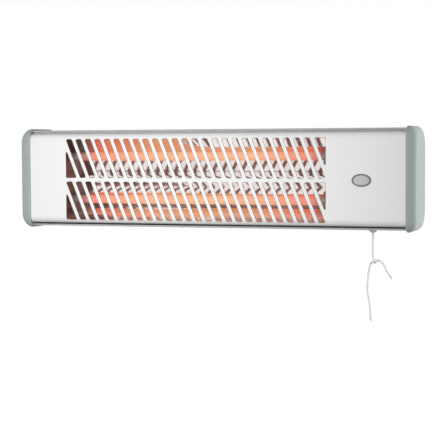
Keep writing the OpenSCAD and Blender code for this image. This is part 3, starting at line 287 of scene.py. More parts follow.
@dataclass
class FoldedSheet:
    """Sheet metal that is cut flat and then folded along its section.

    The sheet is drawn on its flat pattern, where u is the place along X and v the distance along
    the section. Folding takes (u, v, depth) to (u, P(v) - depth * N(v)), where P is the section and
    N its outward normal. All sizes are in millimetres.

    Stretches of the section longer than flat_run are flat, and the shorter ones belong to a bend. An
    outline gets no added point within the share clear of a side's ends, and points of the pattern
    closer than merge are one.
    """

    section: Array
    low_x: float
    high_x: float
    thickness: float
    cuts: list[Array] = field(default_factory=list)
    rim: float = 0.2
    rim_steps: int = 3
    shade_painted_behind: float = math.inf
    flat_run: float = 2.5
    clear: float = 1e-4
    merge: float = 1e-6

    def __post_init__(self) -> None:
        """Measures the section: distance along it, and its normal at each of its points."""
        ahead = unit(np.diff(self.section, axis=0))
        heading = unit(np.concatenate([ahead[:1], ahead[:-1] + ahead[1:], ahead[-1:]]))
        self.along = distance_along(self.section)
        self.facing = np.stack([heading[:, 1], -heading[:, 0]], 1)
        straight = np.linalg.norm(np.diff(self.section, axis=0), axis=1) > self.flat_run
        flat = np.stack([ahead[:, 1], -ahead[:, 0]], 1)
        self.facing[:-1][straight] = flat[straight]
        self.facing[1:][straight] = flat[straight]

    def unfold(self, points: Array) -> Array:
        """Finds where points of the folded sheet lie on its flat pattern.

        Args:
            points: Points on the sheet, (n, 3).

        Returns:
            Their places (u, v), (n, 2), each at the foot of the shortest way to the section.
        """
        a, b = self.section[:-1], self.section[1:]
        run = b - a
        offset = points[:, None, 1:] - a
        t = np.clip((offset * run).sum(2) / (run * run).sum(1), 0, 1)
        near = np.linalg.norm(offset - t[..., None] * run, axis=2).argmin(1)
        own = t[np.arange(len(points)), near]
        v = self.along[near] + own * (self.along[near + 1] - self.along[near])
        return np.stack([points[:, 0], v], 1)

    def cut(self, points: Array) -> None:
        """Cuts out a closed outline.

        Args:
            points: The outline's points on the folded sheet, (n, 3).
        """
        outline = self.unfold(points)
        area = np.cross(outline, np.roll(outline, -1, axis=0)).sum()
        self.cuts.append(outline if area > 0 else outline[::-1])

    def fold(self, flat: Array, depth: Array | float) -> tuple[Array, Array]:
        """Folds points of the flat pattern.

        Args:
            flat: Points (u, v), (n, 2).
            depth: How far below the outer face they lie.

        Returns:
            The points in the part's frame, and the outward normal at each.
        """
        spot = sampled(flat[:, 1], self.along, self.section)
        out = unit(sampled(flat[:, 1], self.along, self.facing))
        low = spot - out * np.broadcast_to(depth, len(flat))[:, None]
        blank = np.zeros((len(flat), 1))
        return to_row(np.concatenate([flat[:, :1], low], 1)), np.concatenate([blank, out], 1)

    def crossed(self, ring: Array, wide: Array) -> tuple[Array, Array]:
        """Adds a point to an outline and to its widened copy wherever the copy crosses a fold line.

        Args:
            ring: The outline, (n, 2).
            wide: Its widened copy, point for point.

        Returns:
            Both, with the points added at the same share of the same side.
        """
        ahead = np.roll(wide, -1, axis=0) - wide
        rows = self.along[1:-1]
        share = (rows - wide[:, 1:]) / np.where(ahead[:, 1:] == 0, np.inf, ahead[:, 1:])
        edge, row = np.nonzero((share > self.clear) & (share < 1 - self.clear))
        share = share[edge, row][:, None]
        order = np.argsort(np.concatenate([np.arange(len(ring)), edge + share[:, 0]]), kind="stable")
        own = ring[edge] + share * (np.roll(ring, -1, axis=0) - ring)[edge]
        other = np.stack([(wide[edge] + share * ahead[edge])[:, 0], rows[row]], 1)
        return np.concatenate([ring, own])[order], np.concatenate([wide, other])[order]

    def borders(self) -> list[tuple[Array, Array, float]]:
        """Finds where the flat faces end, the rim's width away from each outline.

        Returns:
            Each outline, its border and its side: -1 for the sheet's own outline, whose border is
            drawn in, and 1 for a cut, whose border is widened.
        """
        v = self.along
        right = np.stack([np.full(len(v), self.high_x), v], 1)
        left = np.stack([np.full(len(v), self.low_x), v[::-1]], 1)
        sheet = np.concatenate([right, left])
        made = [(sheet, widened(sheet, -self.rim), -1.0)]
        return made + [(*self.crossed(cut, widened(cut, self.rim)), 1.0) for cut in self.cuts]

    def triangles(self, borders: list[Array]) -> tuple[Array, Faces]:
        """Fills the flat pattern between its borders with triangles that no fold line crosses.

        Args:
            borders: The sheet's own border, and then that of each cut.

        Returns:
            The pattern's points, (n, 2), and its triangles, counter-clockwise.
        """
        last = 2 * len(self.along) - 1
        sides, start = [(k, last - k) for k in range(1, len(self.along) - 1)], 0
        for border in borders:
            sides += [(start + k, start + (k + 1) % len(border)) for k in range(len(border))]
            start += len(border)
        flat = np.concatenate(borders)
        # Each point found is one of those given, or a new one where two sides cross.
        found = geometry.delaunay_2d_cdt([Vector(p) for p in flat], sides, [], 0, self.merge)
        flat = np.array([flat[own[0]] if own else spot[:] for spot, own in zip(found[0], found[3])])
        faces = np.array(found[2])
        middle = flat[faces].mean(1)
        keep = inside(middle, borders[0])
        for border in borders[1:]:
            near = np.abs(middle - border.mean(0)).max(1) < np.ptp(border, axis=0).max()
            keep[near] &= ~inside(middle[near], border)
        faces = faces[keep]
        turn = np.cross(flat[faces[:, 1]] - flat[faces[:, 0]], flat[faces[:, 2]] - flat[faces[:, 0]])
        return flat, np.where(turn[:, None] > 0, faces, faces[:, ::-1])

    def hem(self, outline: Array, border: Array, side: float) -> tuple[Array, Faces, Array]:
        """Rounds the sheet's edge along an outline.

        From the border the edge runs over a quarter circle, straight through the sheet, and over a
        second quarter circle into the inner face.

        Args:
            outline: The outline, (n, 2).
            border: Where the flat faces end beside it, point for point.
            side: 1 for a cut, -1 for the sheet's own outline.

        Returns:
            The edge's points, triangles and normals.
        """
        edge, angles = self.rim, np.linspace(0, math.pi / 2, self.rim_steps + 1)
        rise, fall = np.sin(angles), np.cos(angles)
        shift = edge * np.concatenate([1 - rise, 1 - fall])
        depth = np.concatenate([edge * (1 - fall), self.thickness - edge + edge * rise])
        away = (border - outline) * side / edge
        rows = [self.fold(outline + side * s * away, d) for s, d in zip(shift, depth)]
        out = rows[0][1]
        sideways = unit(away) * -side
        slope = np.stack([0 * out[:, 0], -out[:, 2], out[:, 1]], 1)
        inward = sideways[:, :1] * ALONG_X + sideways[:, 1:] * slope
        normals = (np.concatenate([rise, fall])[:, None, None] * inward
                   + np.concatenate([fall, -rise])[:, None, None] * out)
        order = grid_faces(len(rows), len(outline))
        points = np.stack([p for p, _ in rows])
        return points, order[:, ::-1] if side > 0 else order, unit(normals)

    def skin(self, outer: int = 0, inner: int = 0, edges: int = 0, gap_shade: int = 0) -> Skin:
        """Makes both faces and the rounded edges.

        Args:
            outer: Number of the outer face's finish.
            inner: Number of the inner face's finish.
            edges: Number of the finish on the edges of the cuts.
            gap_shade: Number of the outer face's finish where it lies further back than shade_painted_behind:
                a dark colour that paints the shade of the gap there.

        Returns:
            The sheet's skin.
        """
        skin, borders = Skin(), self.borders()
        flat, faces = self.triangles([border for _, border, _ in borders])
        strip = np.searchsorted(self.along, flat[faces].mean(1)[:, 1]) - 1
        place = (self.section[strip, 0] + self.section[strip + 1, 0]) / 2
        # Further back than the given depth the outer face takes a dark finish: painted shade for the gap
        # there.
        tones = np.where(place > self.shade_painted_behind, gap_shade, outer)
        for depth, order, side, tone in ((0, faces[:, ::-1], 1, tones), (self.thickness, faces, -1, inner)):
            points, normals = self.fold(flat, depth)
            skin.add(points, order, normals * side, tone)
        for outline, border, side in borders:
            skin.add(*self.hem(outline, border, side), edges if side > 0 else outer)
        return skin


def turned(profile: Array, centre: Array, axis: Array, steps: int) -> Skin:
    """Turns a profile about an axis.

    A point (r, h) of the profile becomes centre + h * axis + r * (cos a * u + sin a * v), with u
    and v square to the axis.

    Args:
        profile: Points (radius, height), (n, 2), in metres; a radius of 0 closes the form.
        centre: Point of the axis where the height is 0.
        axis: Direction of the height, of length 1.
        steps: Points round the axis.

    Returns:
        The turned skin.
    """
    u = unit(np.cross(axis, UP if abs(axis @ UP) < UPRIGHT else ALONG_X))
    v = np.cross(axis, u)
    a = np.linspace(0, 2 * math.pi, steps, endpoint=False)
    round_ = np.cos(a)[:, None] * u + np.sin(a)[:, None] * v
    points = centre + profile[:, 1, None, None] * axis + profile[:, 0, None, None] * round_
    skin = Skin()
    skin.add(points, grid_faces(len(profile), steps)[:, ::-1])
    return skin


def square_to(path: Array, lean: Array) -> tuple[Array, Array]:
    """Finds two directions square to a path and to each other.

    Args:
        path: Points of the path, (n, 3).
        lean: Direction that the first one follows as nearly as it can, (3,) or (n, 3).

    Returns:
        Both directions at each point.
    """
    heading = unit(np.gradient(path, axis=0))
    side = unit(np.cross(np.cross(heading, lean), heading))
    return side, np.cross(heading, side)


def carried(path: Array, outline: Array, size: float, lean: Array) -> Skin:
    """Carries an outline along a path, and closes both ends.

    At each point of the path the outline lies square to the path's heading, with its first axis as
    near to lean as it can be: point (a, b) becomes p + size * (a * side + b * heading x side).

    Args:
        path: Points of the path, (n, 3), in metres.
        outline: Closed outline, (m, 2), or one for each point, (n, m, 2).
        size: Scale of the outline, which makes it metres.
        lean: Direction that the outline's first axis follows, (3,) or (n, 3).

    Returns:
        The skin along the path.
    """
    side, other = square_to(path, lean)
    outline = np.broadcast_to(outline, (len(path), *outline.shape[-2:]))
    points = path[:, None] + size * (outline[..., :1] * side[:, None] + outline[..., 1:] * other[:, None])
    start, end = (np.broadcast_to(path[k][None, None], points[:1].shape) for k in (0, -1))
    points = np.concatenate([start, points, end])
    skin = Skin()
    skin.add(points, grid_faces(len(points), points.shape[1])[:, ::-1])
    return skin


# Finishes ---------------------------------------------------------------------------------------


class Tree:
    """A node tree that is written from left to right, one node a call."""

    def __init__(self, tree: bpy.types.NodeTree) -> None:
        """Takes the tree that the nodes go into."""
        self.tree = tree

    def node(self, kind: str, inputs: dict[str | int, object] | None = None,
             **settings: object) -> bpy.types.Node:
        """Adds a node.

        Args:
            kind: Its type, without the ShaderNode in front.
            inputs: Sockets by name or number, and the value or output that each takes.
            settings: Properties of the node.

        Returns:
            The new node.
        """
        made = self.tree.nodes.new("ShaderNode" + kind)
        for key, value in settings.items():
            setattr(made, key, value)
        for key, value in (inputs or {}).items():
            self.feed(made.inputs[key], value)
        return made

    def feed(self, socket: bpy.types.NodeSocket, value: object) -> None:
        """Links an output to a socket, or sets its value.

        Args:
            socket: The socket.
            value: The output or the value.
        """
        if isinstance(value, bpy.types.NodeSocket):
            self.tree.links.new(value, socket)
        else:
            socket.default_value = value

    def math(self, operation: str, *values: object) -> bpy.types.NodeSocket:
        """One step of arithmetic on numbers or outputs."""
        return self.node("Math", dict(enumerate(values)), operation=operation).outputs[0]

    def spread(self, factor: bpy.types.NodeSocket, low: float, high: float,
               start: float = 0.3, end: float = 0.7) -> bpy.types.NodeSocket:
        """Maps a factor from start to end onto low to high, and holds it there."""
        inputs = {"Value": factor, "From Min": start, "From Max": end, "To Min": low, "To Max": high}
        return self.node("MapRange", inputs).outputs[0]

    def seen_white(self) -> bpy.types.NodeSocket:
        """Tells the rays that show the background from those that light the object.

        Returns:
            1 for the camera's rays and for reflected and transmitted ones, and 0 for the rest.
        """
        path = self.node("LightPath")
        total = path.outputs["Is Camera Ray"]
        for name in ("Is Glossy Ray", "Is Transmission Ray"):
            total = self.node("Math", {0: total, 1: path.outputs[name]}, operation="ADD",
                              use_clamp=True).outputs[0]
        return total


class Shader(Tree):
    """The node tree of a material round its Principled shader."""

    def __init__(self, name: str) -> None:
        """Starts a material.

        Args:
            name: The material's name.
        """
        self.material = bpy.data.materials.new(name)
        self.material.use_nodes = True
        super().__init__(self.material.node_tree)
        self.surface = self.tree.nodes["Principled BSDF"]

    def set(self, **inputs: object) -> None:
        """Sets or feeds sockets of the Principled shader; an underscore stands for a space."""
        for key, value in inputs.items():
            self.feed(self.surface.inputs[key.replace("_", " ")], value)

    def place(self, scale: Place = (1, 1, 1)) -> bpy.types.NodeSocket:
        """The point's place on the piece, each axis times its own scale."""
        coordinates = self.node("TexCoord").outputs["Object"]
        return self.node("Mapping", {"Vector": coordinates, "Scale": scale}).outputs[0]

    def noise(self, scale: float, detail: float, stretch: Place = (1, 1, 1)) -> bpy.types.NodeSocket:
        """Noise whose cells are about 1 / scale metres wide."""
        inputs = {"Vector": self.place(stretch), "Scale": scale, "Detail": detail}
        return self.node("TexNoise", inputs).outputs["Fac"]

    def gloss(self, noise: bpy.types.NodeSocket, roughness: float, change: Pair, *contrast: float) -> None:
        """Sets the roughness, changed by the first amount where the noise is low, and else by the second."""
        low, high = (roughness + amount for amount in change)
        self.set(Roughness=self.spread(noise, low, high, *contrast))

    def blend(self, factor: bpy.types.NodeSocket | float, a: object, b: object) -> bpy.types.NodeSocket:
        """Mixes two colours.

        Args:
            factor: Share of the second one.
            a: The first colour, or an output that gives it.
            b: The second colour, or an output that gives it.

        Returns:
            The mixed colour.
        """
        mix = self.node("Mix", data_type="RGBA")
        for number, value in ((0, factor), (6, a), (7, b)):
            self.feed(mix.inputs[number], (*value, 1.0) if isinstance(value, tuple) else value)
        return mix.outputs[2]

    def bump(self, height: bpy.types.NodeSocket, depth: float,
             onto: bpy.types.NodeSocket | None = None) -> bpy.types.NodeSocket:
        """Bumps the surface.

        Args:
            height: The height map.
            depth: Its height, in metres.
            onto: A bumped normal that this one goes on top of.

        Returns:
            The bumped normal.
        """
        inputs = {"Height": height, "Distance": depth, "Strength": 1.0}
        if onto is not None:
            inputs["Normal"] = onto
        return self.node("Bump", inputs).outputs[0]


def shade(colour: Colour, factor: float) -> Colour:
    """A colour times a factor, held below 1."""
    return tuple(min(c * factor, 1.0) for c in colour)


@dataclass(frozen=True)
class Finish(ABC):
    """What every finish has: a name of its own and the record's slot that it stands for.

    The textures of the finishes are written as cells per metre and octaves of detail, and the depths
    of their grain in metres.
    """

    name: str
    slot: str

    @abstractmethod
    def make(self) -> bpy.types.Material:
        """Builds the material."""


@dataclass(frozen=True)
class Coat(Finish):
    """An even coat: tone in faint clouds, duller and glossier patches, and a fine grain."""

    colour: Colour
    roughness: float
    drift: float
    clouds: Pair
    patches: Pair
    gloss: Pair
    grain: Pair
    depth: float
    contrast: Pair = (0.3, 0.7)

    def make(self) -> bpy.types.Material:
        """Builds the material.

        The darkest clouds have the share drift of the colour, and the roughness changes by gloss
        from the glossiest patches to the dullest. Noise below and above the contrast is held.

        Returns:
            The material.
        """
        s = Shader(self.name)
        clouds = s.spread(s.noise(*self.clouds), 0, 1, *self.contrast)
        s.set(Base_Color=s.blend(clouds, shade(self.colour, self.drift), self.colour))
        s.gloss(s.noise(*self.patches), self.roughness, self.gloss, *self.contrast)
        s.set(Normal=s.bump(s.noise(*self.grain), self.depth))
        return s.material


@dataclass(frozen=True)
class Enamel(Coat):
    """Powder-coated sheet: slow drift of tone, orange-peel skin, and dust-dulled patches of gloss."""

    roughness: float = 0.34
    drift: float = 0.96
    clouds: Pair = (5, 1)
    patches: Pair = (22, 4)
    gloss: Pair = (-0.04, 0.06)
    grain: Pair = (900, 1)
    depth: float = 0.000012
    contrast: Pair = (0, 1)


@dataclass(frozen=True)
class Moulding(Coat):
    """Moulded plastic: fine spark-eroded grain, even tone with faint flow clouds."""

    roughness: float = 0.42
    drift: float = 0.93
    clouds: Pair = (30, 3)
    patches: Pair = (60, 3)
    gloss: Pair = (-0.05, 0.06)
    grain: Pair = (2600, 2)
    depth: float = 0.00001


@dataclass(frozen=True)
class Clay(Coat):
    """Fired steatite or soft rubber: dull, pitted and a little stained."""

    roughness: float = 0.75
    drift: float = 0.8
    clouds: Pair = (140, 4)
    patches: Pair = (200, 3)
    gloss: Pair = (-0.1, 0.1)
    grain: Pair = (1600, 3)
    depth: float = 0.00003


@dataclass(frozen=True)
class Metal(Finish):
    """Bare or plated metal: rolling lines along X, cloudy plating and bright rubbed edges.

    An edge counts as rubbed where the normal, rounded over worn_r, turns away from the flat one. The
    rolling lines are noise that is drawn out along X.
    """

    colour: Colour
    roughness: float = 0.35
    lines: float = 0.000006
    drift: float = 0.85
    worn: float = 0.0
    worn_r: float = 0.0006
    worn_turn: float = 0.93
    worn_samples: int = 4
    polish: float = 1.25
    plating: Pair = (70, 4)
    rolling: Pair = (1500, 2)
    drawn_out: Place = (0.02, 1, 1)
    gloss: Pair = (-0.07, 0.09)

    def make(self) -> bpy.types.Material:
        """Builds the material.

        Returns:
            The material.
        """
        s = Shader(self.name)
        clouds = s.spread(s.noise(*self.plating), 0, 1)
        tone = s.blend(clouds, shade(self.colour, self.drift), self.colour)
        if self.worn:
            soft = s.node("Bevel", {"Radius": self.worn_r}, samples=self.worn_samples).outputs[0]
            flat = s.node("NewGeometry").outputs["Normal"]
            turn = s.node("VectorMath", {0: soft, 1: flat}, operation="DOT_PRODUCT").outputs["Value"]
            rub = s.spread(turn, self.worn, 0, self.worn_turn, 1.0)
            tone = s.blend(rub, tone, shade(self.colour, self.polish))
        s.set(Base_Color=tone, Metallic=1.0)
        streaks = s.noise(*self.rolling, self.drawn_out)
        s.gloss(streaks, self.roughness, self.gloss)
        s.set(Normal=s.bump(streaks, self.lines))
        return s.material


@dataclass(frozen=True)
class Mirror(Finish):
    """Polished aluminium of the trough: clear, with rolling lines and heat-tinted haze."""

    name: str = "polished_trough"
    slot: str = "polished_aluminium"
    colour: Colour = (0.90, 0.84, 0.82)
    haze: Colour = (0.79, 0.71, 0.68)
    roughness: float = 0.05
    bright: float = 0.90
    lines: float = 0.000002
    clouds: Pair = (28, 4)
    cloud_stretch: Place = (0.5, 1, 1)
    rolling: Pair = (1100, 2)
    drawn_out: Place = (0.015, 1, 1)
    gloss: Pair = (0, 0.07)

    def make(self) -> bpy.types.Material:
        """Builds the material.

        Returns:
            The material.
        """
        s = Shader(self.name)
        clouds = s.spread(s.noise(*self.clouds, self.cloud_stretch), 0, 1)
        s.set(Base_Color=s.blend(clouds, self.haze, self.colour), Metallic=self.bright)
        streaks = s.noise(*self.rolling, self.drawn_out)
        s.gloss(streaks, self.roughness, self.gloss)
        s.set(Normal=s.bump(streaks, self.lines))
        return s.material


@dataclass(frozen=True)
class GlowingTube(Finish):
    """Frosted quartz over a hot coil: milky, orange between the coil's ends and redder towards them."""

    name: str = "frosted_quartz"
    slot: str = "glowing_quartz"
    milk: Colour = (0.44, 0.38, 0.33)
    glow: Colour = (0.79, 0.31, 0.115)
    dull: Colour = (0.80, 0.10, 0.035)
    strength: float = 0.88
    cooling: float = 0.085
    middle: float = COIL_MIDDLE * MM
    half: float = COIL_HALF * MM
    fade: float = 0.010
    pitch: float = COIL_PITCH * MM
    bands: Pair = (0.94, 1.06)
    patches: Pair = (0.93, 1.05)
    patch_noise: Pair = (60, 2)
    milk_drift: float = 0.9
    milk_noise: Pair = (90, 3)
    roughness: Pair = (0.3, 0.42)
    gloss_noise: Pair = (300, 2)
    frost: float = 0.000004
    frost_noise: Pair = (1800, 2)

    def make(self) -> bpy.types.Material:
        """Builds the material.

        The glow has its full strength between the coil's ends and none past them. It is banded at
        the coil's pitch and faintly patchy, and over the length cooling before each end it turns
        from glow to dull.

        Returns:
            The material.
        """
        s = Shader(self.name)
        x = s.node("SeparateXYZ", {0: s.place()}).outputs[0]
        away = s.math("ABSOLUTE", s.math("SUBTRACT", x, self.middle))
        heat = s.spread(away, 1, 0, self.half - self.fade, self.half + self.fade)
        wave = s.math("SINE", s.math("MULTIPLY", x, 2 * math.pi / self.pitch))
        bands = s.spread(wave, *self.bands, -1, 1)
        patches = s.spread(s.noise(*self.patch_noise), *self.patches)
        power = s.math("MULTIPLY", s.math("MULTIPLY", heat, bands), patches)
        power = s.math("MULTIPLY", power, self.strength)
        clouds = s.spread(s.noise(*self.milk_noise), 0, 1)
        s.set(Base_Color=s.blend(clouds, shade(self.milk, self.milk_drift), self.milk))
        near_end = s.spread(away, 0, 1, self.half - self.cooling, self.half)
        s.set(Emission_Color=s.blend(near_end, self.glow, self.dull), Emission_Strength=power)
        s.set(Roughness=s.spread(s.noise(*self.gloss_noise), *self.roughness))
        s.set(Normal=s.bump(s.noise(*self.frost_noise), self.frost))
        return s.material


@dataclass(frozen=True)
class GlowingWire(Finish):
    """Resistance wire at red heat, its cold legs dark with oxide."""

    name: str = "hot_wire"
    slot: str = "glowing_wire"
    oxide: Colour = (0.16, 0.12, 0.10)
    glow: Colour = (1.0, 0.22, 0.05)
    strength: float = 3.0
    middle: float = COIL_MIDDLE * MM
    half: float = COIL_HALF * MM
    fade: Pair = (-0.003, 0.001)
    oxide_drift: float = 0.6
    oxide_noise: Pair = (700, 3)
    metallic: float = 0.6
    roughness: Pair = (0.45, 0.7)
    gloss_noise: Pair = (500, 2)
    scale: float = 0.00001
    scale_noise: Pair = (2500, 2)

    def make(self) -> bpy.types.Material:
        """Builds the material.

        Returns:
            The material.
        """
        s = Shader(self.name)
        x = s.node("SeparateXYZ", {0: s.place()}).outputs[0]
        away = s.math("ABSOLUTE", s.math("SUBTRACT", x, self.middle))
        heat = s.spread(away, self.strength, 0, *(self.half + beyond for beyond in self.fade))
        clouds = s.spread(s.noise(*self.oxide_noise), 0, 1)
        s.set(Base_Color=s.blend(clouds, shade(self.oxide, self.oxide_drift), self.oxide))
        s.set(Emission_Color=(*self.glow, 1.0), Emission_Strength=heat, Metallic=self.metallic)
        s.set(Roughness=s.spread(s.noise(*self.gloss_noise), *self.roughness))
        s.set(Normal=s.bump(s.noise(*self.scale_noise), self.scale))
        return s.material


@dataclass(frozen=True)
class Fibre(Finish):
    """Twisted cotton cord: slanting strands and stray fibres, darker in the grooves between the strands."""

    name: str = "cotton_cord"
    slot: str = "cord_fibre"
    colour: Colour = (0.94, 0.94, 0.93)
    groove: Colour = (0.88, 0.88, 0.87)
    strands: int = 3
    lay: float = 0.0052
    groove_tone_end: float = 0.5
    hair: float = 0.00003
    hair_noise: Pair = (3000, 2)
    relief: float = 0.00025
    roughness: Pair = (0.8, 0.95)
    sheen: float = 0.3
    sheen_roughness: float = 0.5

    def make(self) -> bpy.types.Material:
        """Builds the material.

        The strands follow the piece's UV map, with u once round the cord and v in metres along it:
        a crest is where strands * (v / lay - u) is a whole number and a quarter.

        Returns:
            The material.
        """
        s = Shader(self.name)
        uv = s.node("SeparateXYZ", {0: s.node("TexCoord").outputs["UV"]})
        turns = s.math("SUBTRACT", s.math("MULTIPLY", uv.outputs[1], 1 / self.lay), uv.outputs[0])
        wave = s.math("SINE", s.math("MULTIPLY", turns, 2 * math.pi * self.strands))
        crest = s.spread(wave, 0, 1, -1, 1)
        hair = s.noise(*self.hair_noise)
        # The grooves between the strands take the darker groove colour.
        s.set(Base_Color=s.blend(s.spread(crest, 0, 1, 0, self.groove_tone_end), self.groove, self.colour))
        s.set(Roughness=s.spread(hair, *self.roughness))
        s.set(Sheen_Weight=self.sheen, Sheen_Roughness=self.sheen_roughness)
        s.set(Normal=s.bump(hair, self.hair, s.bump(crest, self.relief)))
        return s.material


@dataclass(frozen=True)
class Insulation(Finish):
    """Silicone or fibre sleeve of a lead, with a second colour in stripes where it has one."""

    colour: Colour
    stripe: Colour | None = None
    stripe_scale: float = 60.0
    stripe_edge: Pair = (0.45, 0.55)
    stripe_warp: float = 1.0
    drift: float = 0.82
    clouds: Pair = (160, 3)
    roughness: Pair = (0.5, 0.68)
    weave: float = 0.00002
    weave_noise: Pair = (2200, 2)

    def make(self) -> bpy.types.Material:
        """Builds the material.

        Returns:
            The material.
        """
        s = Shader(self.name)
        weave = s.noise(*self.weave_noise)
        tone = s.blend(s.spread(s.noise(*self.clouds), 0, 1), shade(self.colour, self.drift), self.colour)
        if self.stripe:
            wave = s.node("TexWave", {"Vector": s.place(), "Scale": self.stripe_scale,
                                      "Distortion": self.stripe_warp})
            tone = s.blend(s.spread(wave.outputs["Fac"], 0, 1, *self.stripe_edge), tone, self.stripe)
        s.set(Base_Color=tone, Roughness=s.spread(weave, *self.roughness), Normal=s.bump(weave, self.weave))
        return s.material


CASING = Enamel("casing_enamel", "casing_paint", (0.46, 0.47, 0.47), drift=0.98)
PANEL = Enamel("panel_enamel", "panel_paint", (0.90, 0.90, 0.90), roughness=0.30, drift=0.985)
PRIMER = Enamel("panel_back_primer", "panel_paint", (0.34, 0.165, 0.125), roughness=0.5)
# Painted shade: dark grey for the panel's outer face behind its rolled edges, standing in for the shade in
# the gap under the panel.
GAP_SHADE_GREY = Enamel("panel_gap_painted_shade", "panel_paint", (0.15, 0.15, 0.15), roughness=0.5)
# Painted shade: a dark colour on the slots' rounded rims, drawing thin dark outlines that stand in for the
# shade round each slot.
SLOT_RIM_SHADE = Enamel("panel_slot_rim_painted_shade", "panel_paint", (0.20, 0.13, 0.12), roughness=0.5)
CAP = Moulding("cap_plastic", "cap_plastic", (0.365, 0.415, 0.40))
WHITE_PLASTIC = Moulding("white_plastic", "white_plastic", (0.86, 0.86, 0.85), roughness=0.35)
TAN_PLASTIC = Moulding("tan_plastic", "tan_plastic", (0.55, 0.36, 0.20))
NYLON = Moulding("nylon", "nylon", (0.72, 0.71, 0.66), roughness=0.4)
BADGE_GREY = Moulding("badge_grey", "badge_grey", (0.19, 0.20, 0.20), roughness=0.3)
BADGE_SILVER = Moulding("badge_silver", "badge_silver", (0.58, 0.59, 0.60), roughness=0.3)
BRACKET = Metal("bracket_steel", "bracket_steel", (0.55, 0.56, 0.57), roughness=0.42, worn=0.8)
ZINC = Metal("zinc_steel", "zinc_steel", (0.62, 0.62, 0.60), roughness=0.3, worn=0.5)
SUPPORT = Metal("support_steel", "support_steel", (0.46, 0.23, 0.18), roughness=0.45)
BRASS = Metal("brass", "brass", (0.72, 0.50, 0.22), roughness=0.28)
STEATITE = Clay("steatite", "steatite", (0.74, 0.70, 0.62), roughness=0.6)
RUBBER = Clay("black_rubber", "black_rubber", (0.03, 0.03, 0.03), roughness=0.7)
BROWN = Insulation("brown_insulation", "brown_insulation", (0.16, 0.07, 0.03))
BLUE = Insulation("blue_insulation", "blue_insulation", (0.05, 0.14, 0.40))
GREEN_YELLOW = Insulation("green_yellow_insulation", "green_yellow_insulation", (0.12, 0.35, 0.06),
                          (0.80, 0.66, 0.05))
MIRROR, TUBE_GLOW, WIRE_GLOW, COTTON = Mirror(), GlowingTube(), GlowingWire(), Fibre()


class Workshop:
    """Makes each finish once, dresses pieces in it and hands them to their bodies."""

    def __init__(self) -> None:
        """Starts with no finishes made."""
        self.made: dict[str, bpy.types.Material] = {}

    def material(self, finish: Finish) -> bpy.types.Material:
        """Finds a finish's material, and makes it at its first use.

        Args:
            finish: The finish.

        Returns:
            Its material.
        """
        if finish.name not in self.made:
            self.made[finish.name] = finish.make()
        return self.made[finish.name]

    def dress(self, piece: bpy.types.Object, body: Body, *finishes: Finish,
              instead: tuple[str, ...] = ()) -> None:
        """Finishes a new piece.

        Args:
            piece: The piece.
            body: The body that it rides on.
            finishes: Its finishes, by number.
            instead: CAD nodes that it replaces.
        """
        for finish in finishes:
            piece.data.materials.append(self.material(finish))
        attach(piece, body.value)
        if instead:
            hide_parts(*instead)
        faces = len(piece.data.polygons) if piece.type == "MESH" else 0
        log.info("%s: %d faces on %s", piece.name, faces, body.value)

    def repaint(self, node: str, finish: Finish) -> None:
        """Gives a CAD node one finish all over.

        Args:
            node: The node's name.
            finish: The finish.
        """
        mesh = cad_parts[node].data
        mesh.materials.clear()
        mesh.materials.append(self.material(finish))
        log.info("%s: CAD solid in %s", node, finish.name)


# Camera and studio ------------------------------------------------------------------------------


@dataclass(frozen=True)
class Viewpoint:
    """The photograph's camera: in front of the heater and past its right end, turned left and down.

    Its place is in metres, its three angles are in degrees, and its lens and sensor in millimetres.
    """

    place: Place = (0.5458, -1.718, 0.0599)
    yaw: float = 18.21
    pitch: float = -3.26
    roll: float = -0.26
    lens: float = 108.16
    sensor: float = 36.0
    clip: Pair = (0.01, 60.0)

    def make(self) -> None:
        """Builds the camera from its heading, its right and its up direction."""
        yaw, pitch, roll = (math.radians(a) for a in (self.yaw, self.pitch, self.roll))
        right = Vector((math.cos(yaw), math.sin(yaw), 0))
        ahead = Vector((-math.sin(yaw) * math.cos(pitch), math.cos(yaw) * math.cos(pitch), math.sin(pitch)))
        up = right.cross(ahead)
        across = right * math.cos(roll) + up * math.sin(roll)
        above = up * math.cos(roll) - right * math.sin(roll)
        data = bpy.data.cameras.new("camera")
        data.lens, data.sensor_width = self.lens, self.sensor
        data.clip_start, data.clip_end = self.clip
        camera = bpy.data.objects.new("camera", data)
        turn = Matrix((across, above, -ahead)).transposed().to_4x4()
        camera.matrix_world = Matrix.Translation(self.place) @ turn
        bpy.context.scene.collection.objects.link(camera)
        bpy.context.scene.camera = camera


@dataclass(frozen=True)
class Lamp:
    """One soft area lamp."""

    name: str
    place: Place
    target: Place
    size: float
    power: float
    colour: Colour = (1.0, 1.0, 1.0)

    def make(self) -> None:
        """Builds the lamp, turned to its target."""
        data = bpy.data.lights.new(self.name, "AREA")
        data.shape, data.size, data.energy, data.color = "DISK", self.size, self.power, self.colour
        lamp = bpy.data.objects.new(self.name, data)
        lamp.visible_glossy = lamp.visible_camera = False
        lamp.location = self.place
        lamp.rotation_euler = (Vector(self.target) - Vector(self.place)).to_track_quat("-Z", "Y").to_euler()
        bpy.context.scene.collection.objects.link(lamp)


